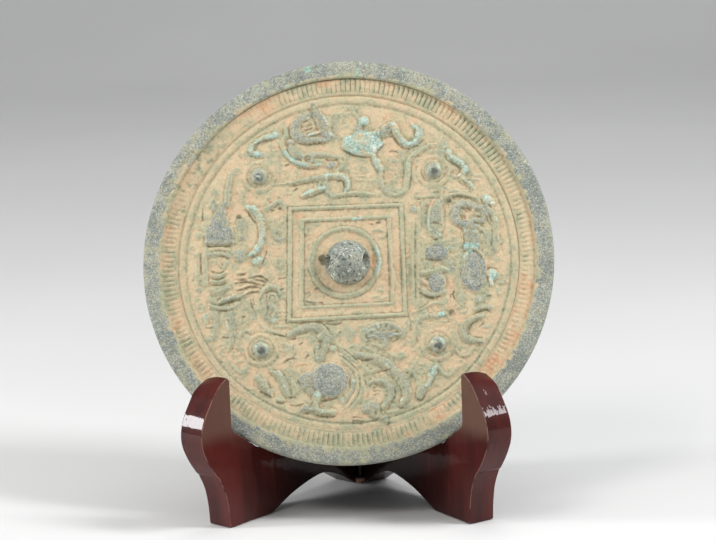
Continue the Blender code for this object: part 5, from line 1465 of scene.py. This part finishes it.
def board_mesh(name, side):
    """The slab, cut where the two boards would meet, with its edges eased."""
    mesh = slab_mesh(name, side)
    bm = bmesh.new()
    bm.from_mesh(mesh)
    bmesh.ops.remove_doubles(bm, verts=bm.verts, dist=1e-6)
    bmesh.ops.dissolve_limit(bm, angle_limit=0.003, verts=bm.verts, edges=bm.edges)
    inward = Vector((-math.sin(OPENING), 0, side * math.cos(OPENING)))
    middle = inward * (BOARD / 2 * math.cos(OPENING) - GAP / 2) * MM
    bmesh.ops.bisect_plane(bm, geom=bm.verts[:] + bm.edges[:] + bm.faces[:], dist=1e-7,
                           plane_co=middle, plane_no=inward, clear_outer=True)
    bmesh.ops.edgeloop_fill(bm, edges=[edge for edge in bm.edges if edge.is_boundary])
    bmesh.ops.recalc_face_normals(bm, faces=bm.faces)
    bm.to_mesh(mesh)
    bm.free()
    board = new_object(f"{name}_square_edged", mesh)
    rounded = board.modifiers.new("eased_edges", "BEVEL")
    rounded.width = EDGE_ROUND * MM
    rounded.segments = 3
    rounded.limit_method = "ANGLE"
    rounded.angle_limit = math.radians(50)
    mesh = taken(board)
    round_lip_top(mesh, side)
    return mesh


def round_lip_top(mesh, side):
    """Rounds the lip's top off towards the outer face, as it was carved by hand."""
    bm = bmesh.new()
    bm.from_mesh(mesh)
    lip_start = 0.9 * LIP_BACK * MM
    for across in LIP_CUTS:
        lip = [face for face in bm.faces if face.calc_center_median().x > lip_start
               and face.calc_center_median().y > LIP_CUTS_LOW * MM and abs(face.normal.z) < 0.5]
        edges = list({edge for face in lip for edge in face.edges})
        verts = list({vert for face in lip for vert in face.verts})
        bmesh.ops.bisect_plane(bm, geom=lip + edges + verts, dist=1e-7,
                               plane_co=(0, 0, side * (BOARD / 2 - across) * MM), plane_no=(0, 0, 1))
    for vert in bm.verts:
        if vert.co.x < lip_start:
            continue
        outward = BOARD / 2 - side * vert.co.z / MM
        high = min(max((vert.co.y / MM - ROUNDING_LOW) / (LIP_TOP - ROUNDING_LOW), 0.0), 1.0)
        lowered = max(0.0, (outward - LIP_CUTS[0]) / ROUNDING_WIDTH) ** 2
        vert.co.y -= LIP_ROUNDING * MM * high * lowered
    bm.to_mesh(mesh)
    bm.free()


def bare_spans(side):
    """Stretches of the hinge's height where this board has no knuckle, each with its gaps."""
    edges = (0.0, EXPOSED_PIN[0], *KNUCKLES, BARREL_TOP)
    spans = list(zip(edges, edges[1:]))
    exposed = spans.pop(1)
    other = [span for k, span in enumerate(spans) if (k % 2 == 0) != (side < 0)]
    joined = []
    for low, high in sorted(other + [exposed, (BARREL_TOP, UPRIGHT_TOP + PAST_TOP)]):
        low, high = low - GAP / 2, high + GAP / 2
        if joined and low < joined[-1][1]:
            joined[-1] = (joined[-1][0], high)
        else:
            joined.append((low - PAST_FOOT if low < 0 else low, high))
    return joined


def cylinders(name, radius, spans, sides):
    """Upright cylinders round the hinge's line, one for each stretch of height."""
    bm = bmesh.new()
    for low, high in spans:
        placed = Matrix.Translation((0, 0, (low + high) / 2 * MM))
        bmesh.ops.create_cone(bm, cap_ends=True, segments=sides, radius1=radius * MM,
                              radius2=radius * MM, depth=(high - low) * MM, matrix=placed)
    return filled_object(name, bm, Matrix.Translation((0, HINGE_Y * MM, 0)))


def make_board(side, material):
    """One board of the stand, opened about the hinge, with its knuckles and the pin's bore."""
    name = "board_left" if side < 0 else "board_right"
    forward = Vector((side * math.sin(OPENING), -math.cos(OPENING), 0))
    up = Vector((0, 0, 1))
    across = forward.cross(up)
    placed = Matrix((forward, up, across)).transposed().to_4x4()
    placed.translation = Vector((0, HINGE_Y * MM, 0)) - side * across * (BOARD / 2 * MM)
    board = new_object(f"{name}_blank", board_mesh(name, side), placed)
    bore = [(-PAST_FOOT, UPRIGHT_TOP + PAST_TOP)]
    tools = [(cylinders(f"{name}_barrel", BARREL_RADIUS, [(0, BARREL_TOP)], 40), "UNION"),
             (cylinders(f"{name}_clearance", BARREL_RADIUS + GAP, bare_spans(side), 40), "DIFFERENCE"),
             (cylinders(f"{name}_bore", PIN_RADIUS + GAP, bore, 24), "DIFFERENCE")]
    mesh = after_booleans(board, tools)
    mark_edges(mesh, side)
    return settle(name, mesh, placed, material, 14)


def mark_edges(mesh, side):
    """Stores how worn each point is, being near a rounded edge, and how far from the inner face."""
    co = coordinates(mesh) / MM
    outline = board_outline(side)
    closed = np.vstack([outline, outline[:1]])
    apart = np.full(len(co), 99.0)
    for a, b in zip(closed, closed[1:]):
        d = b - a
        t = np.clip(((co[:, :2] - a) @ d) / (d @ d + 1e-9), 0.0, 1.0)
        apart = np.minimum(apart, np.hypot(*(co[:, :2] - a - t[:, None] * d).T))
    from_face = BOARD / 2 - np.abs(co[:, 2])
    wear = np.clip(1.0 - np.maximum(apart, from_face) / (EDGE_ROUND * 0.75), 0.0, 1.0)
    for name, values in (("wear", wear), ("from_inner", BOARD / 2 - side * co[:, 2])):
        attribute = mesh.attributes.new(name, "FLOAT", "POINT")
        attribute.data.foreach_set("value", values)


# --------------------------------------------------------------------------
# materials
# --------------------------------------------------------------------------

class Nodes:
    """Short calls for building a material's node tree."""

    def __init__(self, name, local=True):
        self.material = bpy.data.materials.new(name)
        self.material.use_nodes = True
        self.tree = self.material.node_tree
        self.shader = self.tree.nodes["Principled BSDF"]
        self.place = self.attribute("local").outputs["Vector"] if local else \
            self.add("ShaderNodeTexCoord").outputs["Object"]

    def add(self, kind, **values):
        node = self.tree.nodes.new(kind)
        for key, value in values.items():
            setattr(node, key, value)
        return node

    def attribute(self, name):
        return self.add("ShaderNodeAttribute", attribute_name=name)

    def link(self, source, target):
        self.tree.links.new(source, target)

    def fill(self, socket, value):
        """A link where the value is another node's output, or else a plain value."""
        if hasattr(value, "links"):
            self.link(value, socket)
        else:
            socket.default_value = value

    def surface(self, **values):
        """Plain values for the surface, the inputs' names written with underscores."""
        for name, value in values.items():
            self.shader.inputs[name.replace("_", " ")].default_value = value

    def parts(self, kind, source, target):
        """The separate outputs of a colour or a vector."""
        split = self.add(kind)
        self.link(source, split.inputs[target])
        return split.outputs

    def noise(self, scale, detail=4.0, rough=0.55, stretch=None):
        node = self.add("ShaderNodeTexNoise")
        node.inputs["Scale"].default_value = scale
        node.inputs["Detail"].default_value = detail
        node.inputs["Roughness"].default_value = rough
        place = self.place
        if stretch:
            mapping = self.add("ShaderNodeMapping")
            mapping.inputs["Scale"].default_value = stretch
            self.link(place, mapping.inputs["Vector"])
            place = mapping.outputs["Vector"]
        self.link(place, node.inputs["Vector"])
        return node.outputs["Fac"]

    def ramp(self, value, low, high):
        """0 below the low value, 1 above the high one, smooth between; falling where low is higher."""
        node = self.add("ShaderNodeMapRange", interpolation_type="SMOOTHSTEP")
        self.fill(node.inputs["Value"], value)
        node.inputs["From Min"].default_value = low
        node.inputs["From Max"].default_value = high
        return node.outputs["Result"]

    def math(self, operation, a, b):
        node = self.add("ShaderNodeMath", operation=operation)
        self.fill(node.inputs[0], a)
        self.fill(node.inputs[1], b)
        return node.outputs[0]

    def times(self, a, b):
        return self.math("MULTIPLY", a, b)

    def mix(self, amount, a, b):
        """The first colour where the amount is 0, the second where it is 1."""
        node = self.add("ShaderNodeMix", data_type="RGBA")
        self.fill(node.inputs[0], amount)
        self.fill(node.inputs[6], a if hasattr(a, "links") else (*a, 1.0))
        self.fill(node.inputs[7], b if hasattr(b, "links") else (*b, 1.0))
        return node.outputs[2]

    def mottled(self, pattern, low, high, one, other):
        """Two screen colours that change over along a pattern."""
        return self.mix(self.ramp(pattern, low, high), linear(*one), linear(*other))

    def fleck(self, colour, pattern, low, high, amount, other):
        """The colour with flecks of another screen colour that follow a pattern."""
        return self.mix(self.times(self.ramp(pattern, low, high), amount), colour, linear(*other))

    def bump(self, height, strength, distance, below=None):
        node = self.add("ShaderNodeBump")
        node.inputs["Strength"].default_value = strength
        node.inputs["Distance"].default_value = distance
        self.link(height, node.inputs["Height"])
        if below is not None:
            self.link(below, node.inputs["Normal"])
        return node.outputs["Normal"]


def bronze_colours(n, blotch, mottle, grain, speck, dust):
    """Soil, red soil, olive film, bare bronze and verdigris, each with its own flecks."""
    earth = n.mottled(blotch, 0.36, 0.64, (205, 186, 152), (210, 180, 146))
    earth = n.fleck(earth, mottle, 0.47, 0.62, 0.8, (190, 181, 146))
    earth = n.fleck(earth, grain, 0.54, 0.68, 0.35, (158, 148, 112))
    earth = n.fleck(earth, speck, 0.46, 0.3, 0.3, (224, 204, 170))
    earth = n.fleck(earth, dust, 0.55, 0.72, 0.3, (150, 138, 106))
    red_earth = n.mottled(grain, 0.35, 0.65, (210, 168, 132), (194, 154, 120))
    red_earth = n.fleck(red_earth, speck, 0.54, 0.7, 0.4, (160, 138, 106))
    olive = n.mottled(mottle, 0.36, 0.64, (178, 174, 142), (154, 160, 134))
    olive = n.fleck(olive, grain, 0.54, 0.7, 0.6, (116, 120, 90))
    olive = n.fleck(olive, speck, 0.46, 0.3, 0.45, (192, 192, 158))
    grey = n.mottled(grain, 0.38, 0.64, (134, 140, 132), (156, 160, 148))
    grey = n.fleck(grey, mottle, 0.48, 0.62, 0.6, (164, 160, 138))
    grey = n.fleck(grey, blotch, 0.52, 0.36, 0.6, (118, 124, 118))
    grey = n.fleck(grey, n.noise(130, 3, 0.6), 0.5, 0.64, 0.5, (176, 174, 154))
    grey = n.fleck(grey, speck, 0.53, 0.68, 0.6, (98, 102, 94))
    grey = n.fleck(grey, speck, 0.45, 0.28, 0.6, (204, 204, 194))
    turquoise = n.mottled(grain, 0.4, 0.6, (160, 194, 180), (126, 158, 147))
    turquoise = n.fleck(turquoise, mottle, 0.48, 0.62, 0.5, (144, 158, 146))
    turquoise = n.fleck(turquoise, speck, 0.54, 0.7, 0.5, (108, 128, 116))
    turquoise = n.fleck(turquoise, speck, 0.46, 0.3, 0.6, (222, 234, 226))
    return earth, red_earth, olive, grey, turquoise


def linear(r, g, b):
    """Linear colour from a 0 to 255 screen colour."""
    return tuple(c / 12.92 if c <= 0.04045 else ((c + 0.055) / 1.055) ** 2.4
                 for c in (r / 255, g / 255, b / 255))


def bronze_material():
    """Patina: soil below, then films, bare bronze, verdigris and crusts, by the stored amounts, with
    painted highlights on the ridges and painted shade in the hollows.
    """
    n = Nodes("patinated_bronze")
    patina_and_painted_shading, crust = n.attribute("patina_and_painted_shading"), n.attribute("crust")
    green, metal, olive_amount = n.parts("ShaderNodeSeparateColor", patina_and_painted_shading.outputs["Color"], "Color")
    dark, pale, red = n.parts("ShaderNodeSeparateColor", crust.outputs["Color"], "Color")
    hollow = patina_and_painted_shading.outputs["Alpha"]
    blotch = n.noise(60, 3, 0.6)
    mottle = n.noise(240, 3, 0.6)
    grain = n.noise(720, 2, 0.6)
    speck = n.noise(1500, 1, 0.5)
    dust = n.noise(2300, 1, 0.5)
    ragged = n.times(n.math("SUBTRACT", n.noise(650, 3, 0.6), 0.5), 1.6)

    def spread(amount, low, high):
        return n.ramp(n.math("ADD", amount, n.times(ragged, amount)), low, high)

    earth, red_earth, olive, grey, turquoise = bronze_colours(n, blotch, mottle, grain, speck, dust)
    chalk = n.mottled(speck, 0.42, 0.6, (224, 230, 216), (180, 192, 174))
    deep = n.mottled(grain, 0.4, 0.65, (112, 102, 74), (82, 74, 54))
    deep = n.mix(n.ramp(metal, 0.5, 0.9), deep, linear(76, 84, 76))
    colour = n.mix(spread(red, 0.25, 0.8), earth, red_earth)
    colour = n.mix(n.times(spread(olive_amount, 0.12, 0.75), 0.88), colour, olive)
    colour = n.mix(spread(metal, 0.28, 0.85), colour, grey)
    colour = n.mix(n.times(spread(green, 0.25, 0.75), 0.95), colour, turquoise)
    # painted highlight: lighter where the relief bulges
    colour = n.fleck(colour, hollow, 0.42, 0.2, 0.18, (206, 206, 176))
    # painted highlight: pale verdigris on the tops of green ridges
    painted_ridge_highlight = n.times(n.ramp(hollow, 0.44, 0.22), n.ramp(green, 0.3, 0.7))
    colour = n.mix(n.times(painted_ridge_highlight, 0.22), colour, linear(216, 232, 222))
    colour = n.mix(n.times(spread(pale, 0.25, 0.8), 0.8), colour, chalk)
    # the stored dark amount is dark crust, and painted shade at the rim's foot, in the comb's grooves and
    # in the knob's bore
    colour = n.mix(n.times(spread(dark, 0.15, 0.9), 0.82), colour, deep)
    # painted shade: darker in the hollows of the relief
    colour = n.fleck(colour, hollow, 0.54, 0.9, 0.6, (112, 106, 76))
    n.link(colour, n.shader.inputs["Base Color"])
    n.surface(Roughness=0.62, Specular_IOR_Level=0.2)
    first = n.bump(mottle, 0.4, 0.0006)
    second = n.bump(grain, 0.5, 0.0003, first)
    n.link(n.bump(speck, 0.5, 0.0002, second), n.shader.inputs["Normal"])
    return n.material


def lacquer_material():
    """Streaky red-brown lacquer under a glossy coat, rubbed pale on the edges, with painted shade by the
    hinge and a painted grey-brown reflection on the lips' inner faces.
    """
    n = Nodes("red_brown_lacquer")
    wear = n.attribute("wear").outputs["Fac"]
    streak = n.noise(60, 4, 0.6, stretch=(1.0, 0.12, 1.0))
    fine = n.noise(420, 3, 0.6, stretch=(1.0, 0.1, 1.0))
    cloud = n.noise(28, 3, 0.5)
    base = n.mottled(streak, 0.35, 0.65, (56, 22, 19), (82, 31, 27))
    base = n.fleck(base, cloud, 0.45, 0.7, 0.5, (46, 16, 15))
    base = n.fleck(base, fine, 0.62, 0.72, 0.3, (112, 52, 38))
    forward, up, _ = n.parts("ShaderNodeSeparateXYZ", n.place, "Vector")
    # painted shade: darker towards the hinge
    base = n.fleck(base, forward, 0.068, 0.036, 0.8, (26, 14, 13))
    # painted reflection: a grey-brown sheen on the inner faces of the lips, high up and near the front
    from_inner = n.attribute("from_inner").outputs["Fac"]
    film_and_painted_reflection = n.times(n.ramp(up, 0.037, 0.046), n.ramp(from_inner, 0.5, 0.1))
    film_and_painted_reflection = n.times(film_and_painted_reflection, n.ramp(forward, 0.07, 0.08))
    base = n.mix(n.times(film_and_painted_reflection, 0.85), base, linear(98, 70, 61))
    patchy = n.ramp(n.noise(150, 3, 0.6), 0.4, 0.52)
    base = n.mix(n.times(n.ramp(wear, 0.15, 0.6), patchy), base, linear(186, 148, 128))
    n.link(base, n.shader.inputs["Base Color"])
    n.surface(Roughness=0.42, Specular_IOR_Level=0.06)
    n.link(n.times(n.ramp(wear, 0.4, 0.1), 0.42), n.shader.inputs["Coat Weight"])
    n.surface(Coat_Roughness=0.04)
    ripple = n.noise(110, 2, 0.5, stretch=(1.0, 0.35, 1.0))
    n.link(n.bump(ripple, 0.2, 0.0005), n.shader.inputs["Normal"])
    drips = n.noise(420, 2, 0.5, stretch=(1.0, 0.3, 1.0))
    n.link(n.bump(drips, 0.26, 0.0004), n.shader.inputs["Coat Normal"])
    return n.material


def steel_material():
    """Dull, stained steel for the hinge's pin."""
    n = Nodes("dull_steel", local=False)
    base = n.mottled(n.noise(300, 4, 0.6), 0.4, 0.65, (92, 84, 82), (66, 52, 46))
    n.link(base, n.shader.inputs["Base Color"])
    n.surface(Metallic=0.85, Roughness=0.42)
    return n.material


def floor_material():
    """Pale grey paper, very slightly uneven."""
    n = Nodes("studio_floor", local=False)
    base = n.mottled(n.noise(3, 2, 0.5), 0.3, 0.7, (222, 221, 219), (227, 226, 224))
    n.link(base, n.shader.inputs["Base Color"])
    n.surface(Roughness=0.6)
    return n.material


# --------------------------------------------------------------------------
# studio
# --------------------------------------------------------------------------

def area_light(name, place, target, size, power, colour=(1, 1, 1), height=None):
    """A square light, or a rectangle where it has a height, turned towards its target."""
    lamp = bpy.data.lights.new(name, "AREA")
    lamp.energy = power
    lamp.color = colour
    lamp.size = size
    if height:
        lamp.shape = "RECTANGLE"
        lamp.size_y = height
    thing = new_object(name, lamp)
    thing.location = place
    away = Vector(place) - Vector(target)
    thing.rotation_euler = away.to_track_quat("Z", "Y").to_euler()


def seen_from(turn, rise):
    """The direction of a viewer who moves from the front to the right and up, in radians."""
    return Vector((math.sin(turn) * math.cos(rise), -math.cos(turn) * math.cos(rise), math.sin(rise)))


def make_floor():
    """A sheet of paper that lies under the stand and curves up behind it."""
    bm = bmesh.new()
    profile = [FLOOR_FRONT, (FLOOR_BEND, 0.0)]
    profile += [(FLOOR_BEND + FLOOR_CURVE * math.sin(a), FLOOR_CURVE - FLOOR_CURVE * math.cos(a))
                for a in np.linspace(0, math.pi / 2, 13)[1:]]
    profile.append(FLOOR_TOP)
    rows = [[bm.verts.new((x, y, z - FLOOR_BELOW)) for y, z in profile]
            for x in (-FLOOR_HALF, FLOOR_HALF)]
    for a, b, c, d in zip(rows[0], rows[1], rows[1][1:], rows[0][1:]):
        bm.faces.new((a, b, c, d))
    floor = filled_object("studio_floor", bm)
    shade_smooth(floor.data)
    floor.data.materials.append(floor_material())


def make_studio():
    """The floor, a dim sky, two softboxes above and a strip light on each side."""
    make_floor()
    world = bpy.data.worlds.new("studio")
    bpy.context.scene.world = world
    world.use_nodes = True
    background = world.node_tree.nodes["Background"]
    background.inputs["Color"].default_value = (0.92, 0.96, 1.0, 1.0)
    background.inputs["Strength"].default_value = 0.3
    area_light("key_softbox", (-0.7, -0.75, 1.3), OBJECT_MIDDLE, 0.5, 7.1, (1.0, 0.98, 0.95))
    area_light("top_softbox", (0.1, 0.2, 1.5), OBJECT_MIDDLE, 0.8, 4.8)
    for name, side, from_front, up, tall, power in STRIP_LIGHTS:
        away = seen_from(side * math.radians(from_front), math.radians(up))
        lit = (side * 0.06, -0.05, 0.05)
        area_light(name, Vector(lit) + away, lit, 0.2, power, (0.96, 0.97, 1.0), height=tall)


def make_camera():
    """A long lens, a little to the right and above, rolled slightly."""
    turn, roll = math.radians(CAMERA_TURN), math.radians(CAMERA_ROLL)
    back = seen_from(turn, math.radians(CAMERA_RISE))
    right = Vector((math.cos(turn), math.sin(turn), 0))
    up = back.cross(right)
    turned_right = right * math.cos(roll) - up * math.sin(roll)
    turned_up = right * math.sin(roll) + up * math.cos(roll)
    lens = bpy.data.cameras.new("camera")
    lens.lens = CAMERA_LENS
    lens.sensor_width = 36.0
    lens.clip_start = 0.01
    camera = new_object("camera", lens)
    placed = Matrix((turned_right, turned_up, back)).transposed().to_4x4()
    placed.translation = Vector([c * MM for c in CAMERA_TARGET]) + CAMERA_DISTANCE * back
    camera.matrix_world = placed
    bpy.context.scene.camera = camera


def main():
    """Builds every piece on the CAD frame, then the studio."""
    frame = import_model()
    bronze = bronze_material()
    for piece in (make_mirror(bronze), make_knob(bronze)):
        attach(piece, "root")
        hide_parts("mirror")
    lacquer = lacquer_material()
    for side, node in ((-1, "stand_board_left"), (1, "stand_board_right")):
        board = make_board(side, lacquer)
        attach(board, "root")
        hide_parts(node)
    pin = frame["nodes"]["hinge_pin"]
    steel = steel_material()
    for slot in pin.material_slots:
        slot.material = steel
    make_studio()
    make_camera()
    bpy.context.scene.view_settings.view_transform = "Standard"


main()
